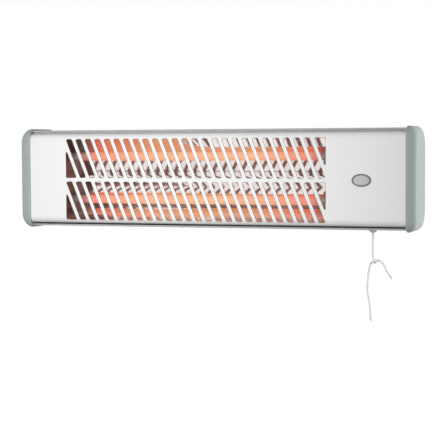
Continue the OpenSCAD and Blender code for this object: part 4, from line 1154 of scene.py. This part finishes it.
@dataclass(frozen=True)
class Studio:
    """A pale room, lit mostly from the horizon.

    A key lamp stands in front of the heater's left half, and another lights its right end. The floor
    and all behind it look white.
    """

    horizon: float = 0.80
    zenith: float = 0.14
    band: Pair = (0.12, 0.50)
    floor_drop: float = -1.2
    floor_half: float = 12.0
    floor_tone: float = 0.14
    floor_glow: float = 0.96
    floor_roughness: float = 0.9
    lamps: tuple[Lamp, ...] = (
        Lamp("key_lamp", (-0.11, -0.72, 0.03), (-0.11, -0.08, 0.02), 0.35, 3.0),
        Lamp("end_lamp", (1.15, -0.02, 0.05), (0.26, -0.07, 0.02), 0.6, 7.0),
    )

    def make(self) -> None:
        """Builds world, floor and lamps."""
        scene = bpy.context.scene
        scene.view_settings.view_transform = "Standard"
        scene.world = bpy.data.worlds.new("studio")
        scene.world.use_nodes = True
        sky = Tree(scene.world.node_tree)
        rise = sky.node("SeparateXYZ", {0: sky.node("TexCoord").outputs["Generated"]}).outputs[2]
        light = sky.spread(rise, self.horizon, self.zenith, *self.band)
        strength = sky.node("Mix", {0: sky.seen_white(), 2: light, 3: 1.0}).outputs[0]
        back = sky.tree.nodes["Background"]
        sky.feed(back.inputs["Color"], (1, 1, 1, 1))
        sky.feed(back.inputs["Strength"], strength)
        self.floor()
        for lamp in self.lamps:
            lamp.make()

    def floor(self) -> None:
        """Builds the plain pale floor, white to the camera but for the shadow on it."""
        h, z = self.floor_half, self.floor_drop
        mesh = bpy.data.meshes.new("studio_floor")
        mesh.from_pydata([(-h, -h, z), (h, -h, z), (h, h, z), (-h, h, z)], [], [(0, 1, 2, 3)])
        floor = bpy.data.objects.new("studio_floor", mesh)
        s = Shader("studio_floor")
        s.set(Base_Color=(self.floor_tone,) * 3 + (1.0,), Roughness=self.floor_roughness)
        white = s.node("Emission", {"Color": (1, 1, 1, 1), "Strength": self.floor_glow})
        both = s.node("AddShader", {0: s.surface.outputs[0], 1: white.outputs[0]})
        mix = s.node("MixShader", {0: s.seen_white(), 1: s.surface.outputs[0], 2: both.outputs[0]})
        s.feed(s.tree.nodes["Material Output"].inputs["Surface"], mix.outputs[0])
        mesh.materials.append(s.material)
        bpy.context.scene.collection.objects.link(floor)


# Sub-assemblies ---------------------------------------------------------------------------------


@dataclass
class PullCord:
    """The pull cord under the switch: a straight part, an overhand knot and two free tails.

    Mouth, diameter and ring_step are in metres. The routes and the knot's place are offsets from the
    mouth, in millimetres. The grooves between the strands take the share groove of the radius, and
    the knot pulls the cord tight to the share tight of it.
    """

    workshop: Workshop
    mouth: Array = field(default_factory=lambda: np.array([0.201, -0.074, -0.047]))
    diameter: float = 0.0026
    sides: int = 24
    ring_step: float = 0.0003
    groove: float = 0.10
    crease: float = 80.0
    straight: tuple[Place, ...] = ((0, 0, -1.3), (0, 0, -8), (0, 0, -16), (0, 0, -24), (0, 0, -33))
    tail_short: tuple[Place, ...] = (
        (4, 0, -35.5), (9, 0, -35.5), (14.5, 0, -41.5), (18.5, 0, -50), (24.5, 0, -58))
    tail_long: tuple[Place, ...] = (
        (0.5, 0, -36.5), (-2.5, 0, -38.5), (-5, 0, -47), (-6.5, 0, -59.5), (-7, 0, -73.5),
        (-4, 0, -91), (-2.5, 0, -111))
    route_steps: int = 6
    knot: Place = (2, 0, -36)
    knot_size: Place = (5.4, 5.6, 6.4)
    knot_steps: int = 180
    tight: float = 0.84

    def route(self, points: tuple[Place, ...]) -> Array:
        """The smooth line through a route's points, in the part's frame.

        Between points b and c the line is the cubic (2b + (c - a) t + (2a - 5b + 4c - d) t^2 +
        (3b - a - 3c + d) t^3) / 2, with a and d their outer neighbours.

        Args:
            points: The route's points.

        Returns:
            The line's points, in metres.
        """
        p = np.array(points, float)
        p = np.concatenate([2 * p[:1] - p[1:2], p, 2 * p[-1:] - p[-2:-1]])
        a, b, c, d = (p[k:len(p) - 3 + k, None] for k in range(4))
        t = np.linspace(0, 1, self.route_steps, endpoint=False)[None, :, None]
        line = (2 * b + (c - a) * t + (2 * a - 5 * b + 4 * c - d) * t**2 + (3 * b - a - 3 * c + d) * t**3) / 2
        return self.mouth + np.concatenate([line.reshape(-1, 3), p[-2:-1]]) * MM

    def strand(self, name: str, line: Array, radius: float) -> bpy.types.Object:
        """Makes a twisted strand along a line.

        At the angle a and the distance v along the line its radius is r (1 - g + g |sin(n (a / 2 -
        pi v / lay))|), with n strands and the groove's share g.

        Args:
            name: The piece's name.
            line: Points of its middle, in metres.
            radius: Its radius over the strands' crests.

        Returns:
            The piece.
        """
        along = distance_along(line)
        v = np.append(np.arange(0, along[-1], self.ring_step)[:-1], along[-1])
        middle = sampled(v, along, line)
        a = np.linspace(0, 2 * math.pi, self.sides, endpoint=False)
        crest = np.abs(np.sin(COTTON.strands * (a[None] / 2 - math.pi * v[:, None] / COTTON.lay)))
        rings = (1 - self.groove + self.groove * crest)[..., None] * np.stack([np.cos(a), np.sin(a)], 1)
        piece = carried(middle, rings, radius, INTO_WALL).build(name, self.crease)
        self.unwrap(piece.data, middle, v)
        return piece

    def unwrap(self, mesh: bpy.types.Mesh, middle: Array, along: Array) -> None:
        """Gives a strand its UV map, with u once round it and v in metres along it.

        Each point belongs to the nearest point of the middle line, and u is its angle there. Where a
        triangle crosses the seam, its corners past it take u + 1.

        Args:
            mesh: The strand's mesh.
            middle: Points of its middle line, (n, 3).
            along: The distance along the line at each.
        """
        spots = np.empty(len(mesh.vertices) * 3, np.float32)
        mesh.vertices.foreach_get("co", spots)
        spots = spots.reshape(-1, 3).astype(float)
        near = np.empty(len(spots), int)
        for low in range(0, len(spots), CHUNK):
            part = spots[low:low + CHUNK, None] - middle[None]
            near[low:low + CHUNK] = (part**2).sum(2).argmin(1)
        side, other = square_to(middle, INTO_WALL)
        out = spots - middle[near]
        turn = np.arctan2((out * other[near]).sum(1), (out * side[near]).sum(1)) / (2 * math.pi)
        loops = np.empty(len(mesh.loops), np.int32)
        mesh.loops.foreach_get("vertex_index", loops)
        corners = turn[loops].reshape(-1, 3)
        corners += (corners < corners.max(1, keepdims=True) - 0.5) * 1.0
        uv = np.stack([corners.ravel(), along[near][loops]], 1)
        mesh.uv_layers.new(name="cord").data.foreach_set("uv", uv.astype(np.float32).ravel())

    def make(self) -> None:
        knot = self.make_knot()
        for name, points, node, end in (("cord_run", self.straight, "pull_cord", "knot"),
                                        ("cord_end_short", self.tail_short, "cord_tail_short", "bare"),
                                        ("cord_end_long", self.tail_long, "cord_tail_long", "bare")):
            line = self.route(points)
            if end == "knot":
                line = np.concatenate([[self.mouth], line])
            piece = self.strand(name, line, self.diameter / 2)
            self.workshop.dress(piece, Body.CORD, COTTON, instead=(node,))

    def make_knot(self) -> bpy.types.Object:
        """Builds the overhand knot.

        Its middle line is the knotted ring (sin t + 2 sin 2t, cos t - 2 cos 2t, -sin 3t), scaled to
        the knot's size and pressed together.

        Returns:
            The knot.
        """
        t = np.linspace(0, 2 * math.pi, self.knot_steps + 1)
        ring = np.stack([np.sin(t) + 2 * np.sin(2 * t), -np.sin(3 * t), np.cos(t) - 2 * np.cos(2 * t)], 1)
        radius = self.tight * self.diameter / 2
        ring *= (np.array(self.knot_size) * MM / 2 - radius) / np.abs(ring).max(0)
        knot = self.strand("cord_knot_tied", self.mouth + np.array(self.knot) * MM + ring, radius)
        self.workshop.dress(knot, Body.CORD, COTTON, instead=("cord_knot",))
        return knot


@dataclass
class CordBush:
    """The white bush that the cord leaves through, with its flared mouth.

    It is turned from a section that runs down from its place, the middle of the neck's seat, which is
    in metres. Its sizes are in millimetres: collar and seat are shares of the height, and the flare
    is how far out and up from the lip the slope starts.
    """

    workshop: Workshop
    place: Array = field(default_factory=lambda: np.array([0.201, -0.074, -0.0426]))
    height: float = 4.4
    radius: float = 5.4
    bore: float = 2.0
    neck: float = 3.6
    lip_w: float = 1.0
    flare: Pair = (1.1, 0.35)
    collar: float = 0.34
    seat: float = 0.7
    radii: tuple[float, ...] = (0, 0, 0.8, 1.2, 0.25, 0.95, 0, 0)
    arc_steps: int = 6
    sides: int = 64

    def make(self) -> None:
        """Turns the bush's section about the cord's line."""
        h, lip, (out, up) = self.height, self.bore + self.lip_w, self.flare
        corners = [[self.neck, 0], [self.radius, 0], [self.radius, self.collar * h], [lip + out, h - up],
                   [lip, h], [self.bore, h], [self.bore, self.seat * h], [self.neck, self.seat * h]]
        section = rounded(corners, self.radii, self.arc_steps, closed=True)
        skin = turned(np.concatenate([section, section[:1]]) * MM, self.place, -UP, self.sides)
        piece = skin.build("cord_bush_turned")
        self.workshop.dress(piece, Body.HEATER, WHITE_PLASTIC, instead=("cord_bush",))


@dataclass
class Grille:
    """Places of the slots in the front panel, in the heater's frame, in millimetres.

    Each row starts at low_x, is width long and hangs down from one of the tops. Its slots run to the
    right by lean for each millimetre that they fall.
    """

    low_x: float = -198.0
    width: float = 348.0
    tops: Pair = (50.8, -4.4)
    slot_w: float = 8.0
    slot_h: float = 50.0
    lean: float = 0.4
    corner_r: float = 1.8
    corner_shares: tuple[float, float, float] = (0.8, 0.8, 0.5)
    count: int = 25
    arc_steps: int = 5

    def outlines(self) -> list[Array]:
        """Draws both rows: leaning slots, and a three-cornered piece at each end.

        The three-cornered pieces take corner_shares of the slots' corner radius.

        Returns:
            The outlines (x, z).
        """
        foot = self.lean * self.slot_h
        step = (self.width - self.slot_w - foot) / (self.count - 1)
        slot = rounded([[0, 0], [self.slot_w, 0], [self.slot_w + foot, -self.slot_h], [foot, -self.slot_h]],
                       [self.corner_r] * 4, self.arc_steps, closed=True)
        wide = foot - step + self.slot_w
        corner = rounded([[0, 0], [wide, 0], [0, wide / self.lean]],
                         [share * self.corner_r for share in self.corner_shares], self.arc_steps, closed=True)
        made = []
        for top in self.tops:
            made += [slot + [self.low_x + k * step, top] for k in range(self.count)]
            made.append(corner + [self.low_x, top - self.slot_h])
            made.append([self.low_x + self.width, top] - corner)
        return made


@dataclass
class FrontPanel:
    """The white front sheet: flat face with two rows of slots, rolled edges, joggle and flanges.

    Each long edge is rolled back by edge_r, steps out from half to seat at its joggle, of which the
    upper edge's comes first, and ends at flange_y. Behind shade_painted_behind the outer face takes
    a dark grey, painted shade for the gap under the panel.
    """

    workshop: Workshop
    front: float = -80.0
    half: float = 58.3
    seat: float = 61.4
    edge_r: float = 9.0
    joggles: Pair = (-66.0, -59.0)
    joggle_run: float = 3.0
    flange_y: float = -52.0
    shade_painted_behind: float = -62.0
    half_w: float = 251.0
    thickness: float = 1.0
    fold_r: float = 2.0
    fold_steps: int = 12
    rim: float = 0.35
    grille: Grille = field(default_factory=Grille)

    def make(self) -> None:
        """Folds the pierced sheet."""
        upper, lower = ([[self.flange_y, self.seat], [y + self.joggle_run, self.seat], [y, self.half],
                         [self.front, self.half]] for y in self.joggles)
        corners = upper + [[y, -z] for y, z in reversed(lower)]
        bends = [0, self.fold_r, self.fold_r, self.edge_r]
        section = rounded(corners, bends + bends[::-1], self.fold_steps)
        sheet = FoldedSheet(section, -self.half_w, self.half_w, self.thickness, rim=self.rim,
                            shade_painted_behind=self.shade_painted_behind)
        for outline in self.grille.outlines():
            sheet.cut(np.insert(outline, 1, self.front, axis=1))
        # The outer face behind the rolled edges takes a dark grey: painted shade for the gap under the panel.
        panel = sheet.skin(outer=0, inner=1, edges=2, gap_shade=3).build("front_panel_folded")
        # The slots' rims take a dark colour: painted shade that outlines each slot.
        self.workshop.dress(panel, Body.HEATER, PANEL, PRIMER, SLOT_RIM_SHADE, GAP_SHADE_GREY,
                            instead=("front_panel",))


@dataclass
class RearCasing:
    """The grey casing behind the panel: back, rounded corners, hemmed lips and vents.

    A hole is given by its middle and its radius: the cable's in the back as (x, z, r), and the
    cord's in the underside as (x, y, r). The hems are bent to the share fold of the thickness, and
    the vents' ends are rounded to the share vent_end of their half height.
    """

    workshop: Workshop
    half: float = 62.6
    corner_r: float = 17.6
    lip_y: float = -71.0
    hem: float = 6.0
    half_w: float = 251.0
    thickness: float = 1.2
    vent_size: Pair = (18.0, 3.6)
    vent_xs: tuple[float, ...] = tuple(-24.0 + 28.0 * k for k in range(-5, 6))
    vent_y: float = -40.0
    vent_end: float = 0.9
    vent_steps: int = 6
    cable_hole: Place = (222.0, -12.0, 5.75)
    cord_hole: Place = (201.0, -40.0, 3.75)
    hole_sides: int = 32
    fold: float = 0.95
    fold_steps: int = 16
    rim: float = 0.25

    def make(self) -> None:
        """Folds the casing and cuts its vents, the grommet's hole and the cord's hole."""
        h, t, end = self.half, self.thickness, self.lip_y + self.hem
        corners = [[end, 2 * t - h], [self.lip_y, 2 * t - h], [self.lip_y, -h], [0, -h], [0, h],
                   [self.lip_y, h], [self.lip_y, h - 2 * t], [end, h - 2 * t]]
        bends = [0, self.fold * t, self.fold * t, self.corner_r]
        section = rounded(corners, bends + bends[::-1], self.fold_steps)
        casing = FoldedSheet(section, -self.half_w, self.half_w, t, rim=self.rim)
        a, b = self.vent_size[0] / 2, self.vent_size[1] / 2
        vent = rounded([[-a, -b], [a, -b], [a, b], [-a, b]], [self.vent_end * b] * 4, self.vent_steps,
                       closed=True)
        for x in self.vent_xs:
            for z in (h, -h):
                casing.cut(np.insert(vent + [x, self.vent_y], 2, z, axis=1))
        for (x, other, r), axis, level in ((self.cable_hole, 1, 0.0), (self.cord_hole, 2, -h)):
            casing.cut(np.insert(ellipse(r, r, self.hole_sides) + [x, other], axis, level, axis=1))
        piece = casing.skin().build("rear_casing_folded")
        self.workshop.dress(piece, Body.HEATER, CASING, instead=("rear_casing",))


@dataclass
class EndCap:
    """A moulded end cap: rounded bucket over the casing's end.

    Its outline has the radii front_r and back_r. The edge round its end face is rounded by corner_r
    above and below, by edge_r in front and by back_edge_r behind. The brow is how far its rim is
    rounded back along X and inwards.
    """

    workshop: Workshop
    side: Side
    rim_x: float = 249.2
    end_x: float = 262.0
    seat_x: float = 251.0
    half: float = 65.0
    front: float = -82.4
    back: float = 2.4
    wall: float = 2.2
    corner_r: float = 12.0
    front_r: float = 12.0
    back_r: float = 20.0
    edge_r: float = 3.4
    back_edge_r: float = 6.0
    draft: float = 2.7
    brow: Pair = (3.4, 1.2)
    least_r: float = 1.0
    rim_r: float = 0.3
    join: float = 0.1
    rim_steps: int = 4
    brow_steps: int = 8
    shell_steps: int = 32
    arc_steps: int = 12
    face_rings: int = 8

    def ring(self, rise: float, depth: float, rear: float) -> Array:
        """Draws the cap's outline, drawn in from its full size.

        Args:
            rise: How far above and below.
            depth: How far in front.
            rear: How far behind.

        Returns:
            Its points (y, z).
        """
        h, y0, y1 = self.half - rise, self.front + depth, self.back - rear
        r0, r1 = (max(r - min(rise, depth), self.least_r) for r in (self.front_r, self.back_r))
        return rounded([[y0, -h], [y1, -h], [y1, h], [y0, h]], [r0, r1, r1, r0], self.arc_steps, closed=True)

    def stations(self) -> list[tuple[float, ...]]:
        """Works out the outlines' places: up the inner wall, over the rim, along the shell to its edge.

        Over the edge the outline is drawn in by r (1 - cos a) while X grows by r sin a, each side
        with its own radius. The rim's brow is a quarter of an ellipse, and the shell's outlines
        start the distance join past it.

        Returns:
            X of each outline, and how far it is drawn in above, in front and behind.
        """
        r, quarter = self.rim_r, math.pi / 2
        made = [(self.seat_x, *[self.wall] * 3), (self.rim_x + r, *[self.wall] * 3)]
        for a in np.linspace(0, quarter, self.rim_steps + 1):
            made.append((self.rim_x + r * (1 - math.sin(a)), *[self.wall - r * (1 - math.cos(a))] * 3))
        run, fall = self.brow
        past = self.rim_x + run
        brow = past - run * np.sin(np.linspace(quarter, 0, self.brow_steps + 1))
        shell = self.end_x - self.corner_r * (1 - np.sin(np.linspace(0, quarter, self.shell_steps + 1)))
        for x in np.concatenate([brow, shell[shell > past + self.join]]):
            sunk = fall * (1 - math.sqrt(1 - min(max((past - x) / run, 0.0), 1.0)**2))
            drawn = [edge - math.sqrt(max(edge**2 - max(x - self.end_x + edge, 0.0)**2, 0.0)) + sunk
                     for edge in (self.corner_r, self.edge_r, self.back_edge_r)]
            made.append((x, *drawn))
        return made

    def make(self) -> None:
        """Stacks the outlines along X and closes both ends.

        The draft leans the end face inwards to the back, less and less down to the brow.
        """
        xs, rings = zip(*((x, self.ring(*drawn)) for x, *drawn in self.stations()))
        middle = np.array([(self.front + self.back) / 2, 0.0])
        shrink = np.linspace(1, 0, self.face_rings + 1)[1:, None, None]
        face = middle + (rings[-1] - middle) * shrink
        floor = middle + (rings[0] - middle) * shrink[::-1]
        rings = np.concatenate([floor, np.stack(rings), face])
        xs = np.pad(xs, self.face_rings, mode="edge")[:, None, None]
        past = self.rim_x + self.brow[0]
        share = np.clip((xs - past) / (self.end_x - past), 0, 1)
        lean = self.draft * share * (rings[..., :1] - self.front) / (self.back - self.front)
        points = np.concatenate([(xs - lean) * self.side.value, rings], 2)
        order = grid_faces(len(rings), rings.shape[1])
        skin = Skin()
        skin.add(to_row(points), order if self.side is Side.LEFT else order[:, ::-1])
        name = f"end_cap_{self.side.name.lower()}"
        self.workshop.dress(skin.build(name + "_moulded"), Body.HEATER, CAP, instead=(name,))


@dataclass
class Element:
    """One heating element: frosted tube and the coil in it.

    Over the last run_out turns at each end the coil narrows to its middle, where its legs go on. The
    wire's section leans along the axis, and a little off it, so that no leg runs the way it leans.
    """

    workshop: Workshop
    row: Row
    middle: float = COIL_MIDDLE
    depth: float = -48.0
    rise: float = 28.0
    tube_half: float = 191.2
    tube_r: float = 5.5
    bore_r: float = 4.3
    coil_half: float = COIL_HALF
    coil_r: float = 3.8
    wire_r: float = 0.5
    pitch: float = COIL_PITCH
    leg_half: float = 190.0
    run_out: float = 0.5
    end_r: float = 0.3
    end_steps: int = 4
    tube_sides: int = 48
    turn_steps: int = 14
    wire_sides: int = 6
    wire_lean: Place = (1.0, 0.02, 0.01)
    crease: float = 80.0

    def at(self, x: Array, y: Array, z: Array) -> Array:
        """Places points that are given from the middle of the element's axis."""
        return to_row(np.stack([x + self.middle, y + self.depth, z + self.rise * self.row.value], -1))

    def make(self) -> None:
        """Builds tube and coil."""
        self.make_tube()
        self.make_coil()

    def make_tube(self) -> None:
        """Turns the tube's wall, rounded at its ends, about its axis."""
        end, r0, r1 = self.tube_half, self.bore_r, self.tube_r
        section = rounded([[r0, -end], [r1, -end], [r1, end], [r0, end]], [self.end_r] * 4,
                          self.end_steps, closed=True)
        section = np.concatenate([section, section[:1]]) * MM
        name, start = self.row.name.lower(), self.at(*np.zeros(3))
        tube = turned(section, start, ALONG_X, self.tube_sides).build(f"quartz_{name}")
        self.workshop.dress(tube, Body.HEATER, TUBE_GLOW, instead=(f"quartz_tube_{name}",))

    def make_coil(self) -> None:
        """Winds the coil: at the share t of its length it has turned by 2 pi t times its turns."""
        turns = 2 * self.coil_half / self.pitch
        t = np.linspace(0, 1, int(turns * self.turn_steps))
        a, r = 2 * math.pi * turns * t, self.coil_r - self.wire_r
        calm = np.clip(np.minimum(t, 1 - t) * turns / self.run_out, 0, 1)
        x = np.concatenate([[-self.leg_half], (2 * t - 1) * self.coil_half, [self.leg_half]])
        y = np.concatenate([[0], r * calm * np.cos(a), [0]])
        z = np.concatenate([[0], r * calm * np.sin(a), [0]])
        name, section = self.row.name.lower(), ellipse(1, 1, self.wire_sides)
        wire = carried(self.at(x, y, z), section, self.wire_r * MM, np.array(self.wire_lean))
        self.workshop.dress(wire.build(f"coil_{name}", self.crease), Body.HEATER, WIRE_GLOW,
                            instead=(f"heating_coil_{name}",))


@dataclass
class Trough:
    """The polished reflector behind the elements.

    Along its right half its upper edge is pressed flatter and its lower trough is shallower, over
    the stretch of X that turn gives. Lines are (y, z), from the top down.
    """

    workshop: Workshop
    low_x: float = -208.0
    high_x: float = 160.0
    thickness: float = 0.5
    turn: Pair = (-66.0, -6.0)
    turn_steps: int = 24
    arc_steps: int = 24
    lip: Corners = ((-75, 54), (-59.7, 54))
    left_wing: Corners = ((-51.7, 48.5), (-47.0, 44.645), (-38.8, 37.9))
    left_radii: tuple[float, ...] = (3.5, 57, 600, 21)
    left_troughs: Corners = (
        (-38.3, 15.9), (-45.7, 0), (-38.8, -14.2), (-36.4, -33.8), (-47.5, -42.0), (-60.0, -53.2),
        (-61.0, -54), (-75, -54))
    right_wing: Corners = ((-42.9, 53.2), (-42.2, 39.8), (-39.0, 33.2))
    right_radii: tuple[float, ...] = (3.5, 1.5, 1, 10)
    right_troughs: Corners = (
        (-38.3, 15.9), (-45.7, 0), (-40.3, -15.4), (-38.2, -33.8), (-49.3, -42.0), (-61.8, -53.2),
        (-62.8, -54), (-75, -54))
    radii: tuple[float, ...] = (31.8, 9.0, 31.9, 3, 12, 2, 1.2)

    def section(self, wing: Corners, radii: tuple[float, ...], troughs: Corners) -> Array:
        """Rounds one end's line of the reflector.

        Args:
            wing: Corners of the upper wing.
            radii: Radii at the lip's inner corner and the upper wing's corners.
            troughs: Corners of the two troughs, the lower wing and its lip.

        Returns:
            The points (y, z) along the line.
        """
        return rounded(self.lip + wing + troughs, [0, *radii, *self.radii, 0], self.arc_steps)

    def make(self) -> None:
        """Lofts the mirror along X from its left section to its right one.

        The share s of the right section rises over the turn as 3 s^2 - 2 s^3. The back face lies the
        sheet's thickness behind the bright one.
        """
        left = self.section(self.left_wing, self.left_radii, self.left_troughs)
        right = self.section(self.right_wing, self.right_radii, self.right_troughs)
        xs = np.concatenate([[self.low_x], np.linspace(*self.turn, self.turn_steps + 1), [self.high_x]])
        xs = xs[:, None, None]
        share = np.clip((xs - self.turn[0]) / (self.turn[1] - self.turn[0]), 0, 1)
        bright = left + share**2 * (3 - 2 * share) * (right - left)
        ahead = unit(np.gradient(bright, axis=1))
        back = bright - self.thickness * np.stack([ahead[..., 1], -ahead[..., 0]], 2)
        rings = np.concatenate([bright, back[:, ::-1]], 1)
        points = np.concatenate([np.broadcast_to(xs, rings[..., :1].shape), rings], 2)
        count = rings.shape[1]
        k = np.arange(count // 2 - 1)
        far = count - 1 - k
        end = np.concatenate([np.stack([k, k + 1, far - 1], 1), np.stack([k, far - 1, far], 1)])
        wall = grid_faces(len(xs), count)[:, ::-1]
        skin = Skin()
        skin.add(to_row(points), np.concatenate([wall, end, end[:, ::-1] + (len(xs) - 1) * count]))
        self.workshop.dress(skin.build("reflector_lofted"), Body.HEATER, MIRROR, instead=("reflector",))


@dataclass
class Badge:
    """The oval badge: raised grey rim and a domed silver insert, left without a mark.

    Both are stacks of ellipses, each a height above the panel and a distance in from the edge. The
    dome's foot stands straight, and from dome_start it rises by dome_rise over dome_run.
    """

    workshop: Workshop
    place: Place = (194.8, -80.0, -1.4)
    half_w: float = 12.0
    half_h: float = 8.0
    rim: Corners = ((0.0, 0.0), (0.75, 0.0), (1.3, 0.25), (1.56, 0.6), (1.6, 0.9), (1.5, 1.3),
                    (1.2, 1.62), (0.8, 1.8), (0.0, 1.8), (0.0, 0.0))
    dome_foot: Corners = ((0.0, 1.8), (0.45, 1.8))
    dome_start: Pair = (0.5, 1.9)
    dome_rise: float = 0.62
    dome_run: float = 6.1
    dome_turn: float = 1.57
    dome_steps: int = 16
    sides: int = 72
    least: float = 0.01

    def make(self) -> None:
        """Builds rim and insert; the dome's section is the arc (rise sin a, run (1 - cos a))."""
        self.stack("badge_rim", self.rim, BADGE_GREY, "badge_rim_ring", closed=False)
        height, inset = self.dome_start
        dome = tuple((height + self.dome_rise * math.sin(a), inset + self.dome_run * (1 - math.cos(a)))
                     for a in np.linspace(0, self.dome_turn, self.dome_steps))
        self.stack("badge_face", self.dome_foot + dome, BADGE_SILVER, "badge_insert", closed=True)

    def stack(self, name: str, steps: Corners, finish: Finish, node: str, closed: bool) -> None:
        """Stacks ellipses into a piece.

        Args:
            name: The piece's name.
            steps: Height above the panel and distance in from the badge's edge, in millimetres.
            finish: Its finish.
            node: The CAD node that it replaces.
            closed: Whether the first and the last ellipse are closed to their middles.
        """
        rings = []
        for height, inset in steps:
            a, b = (max(half - inset, self.least) for half in (self.half_w, self.half_h))
            rings.append(np.insert(ellipse(a, b, self.sides), 1, -height, axis=1))
        if closed:
            rings = [rings[0] * 0, *rings, rings[-1] * [0, 1, 0]]
        skin = Skin()
        skin.add(to_row(np.stack(rings) + self.place), grid_faces(len(rings), self.sides))
        self.workshop.dress(skin.build(name), Body.HEATER, finish, instead=(node,))


NODE_FINISHES: dict[Finish, tuple[str, ...]] = {
    BRACKET: ("wall_bracket", "tilt_bracket"),
    ZINC: ("pivot_screws", "pivot_nuts", "bracket_screws", "bracket_nuts", "cap_screws", "foot_screws",
           "pin_nuts", "switch_cover_screws", "return_spring", "terminal_screws", "block_screws",
           "clamp_screws", "reflector_rivets"),
    NYLON: ("pivot_washers", "switch_axle", "cable_clamp"),
    SUPPORT: ("element_support_left", "element_support_right", "heat_shield"),
    STEATITE: ("ceramic_caps",),
    BRASS: ("element_pins", "switch_contacts", "earth_stud"),
    WHITE_PLASTIC: ("switch_housing", "switch_cover", "pull_drum", "terminal_block"),
    TAN_PLASTIC: ("contact_rotor",),
    RUBBER: ("cable_grommet",),
    BROWN: ("live_lead", "element_link"),
    BLUE: ("element_lead_upper", "element_lead_lower"),
    GREEN_YELLOW: ("earth_lead",),
    COTTON: ("drum_cord", "inner_cord"),
}


def main() -> None:
    """Builds the camera, the cord, the heater's sub-assemblies and the studio."""
    workshop = Workshop()
    Viewpoint().make()
    PullCord(workshop).make()
    CordBush(workshop).make()
    FrontPanel(workshop).make()
    RearCasing(workshop).make()
    for side in Side:
        EndCap(workshop, side).make()
    for row in Row:
        Element(workshop, row).make()
    Trough(workshop).make()
    Badge(workshop).make()
    for finish, nodes in NODE_FINISHES.items():
        for node in nodes:
            workshop.repaint(node, finish)
    Studio().make()


if __name__ == "__main__":
    logging.basicConfig(level=logging.INFO, format="%(name)s %(message)s")
    main()
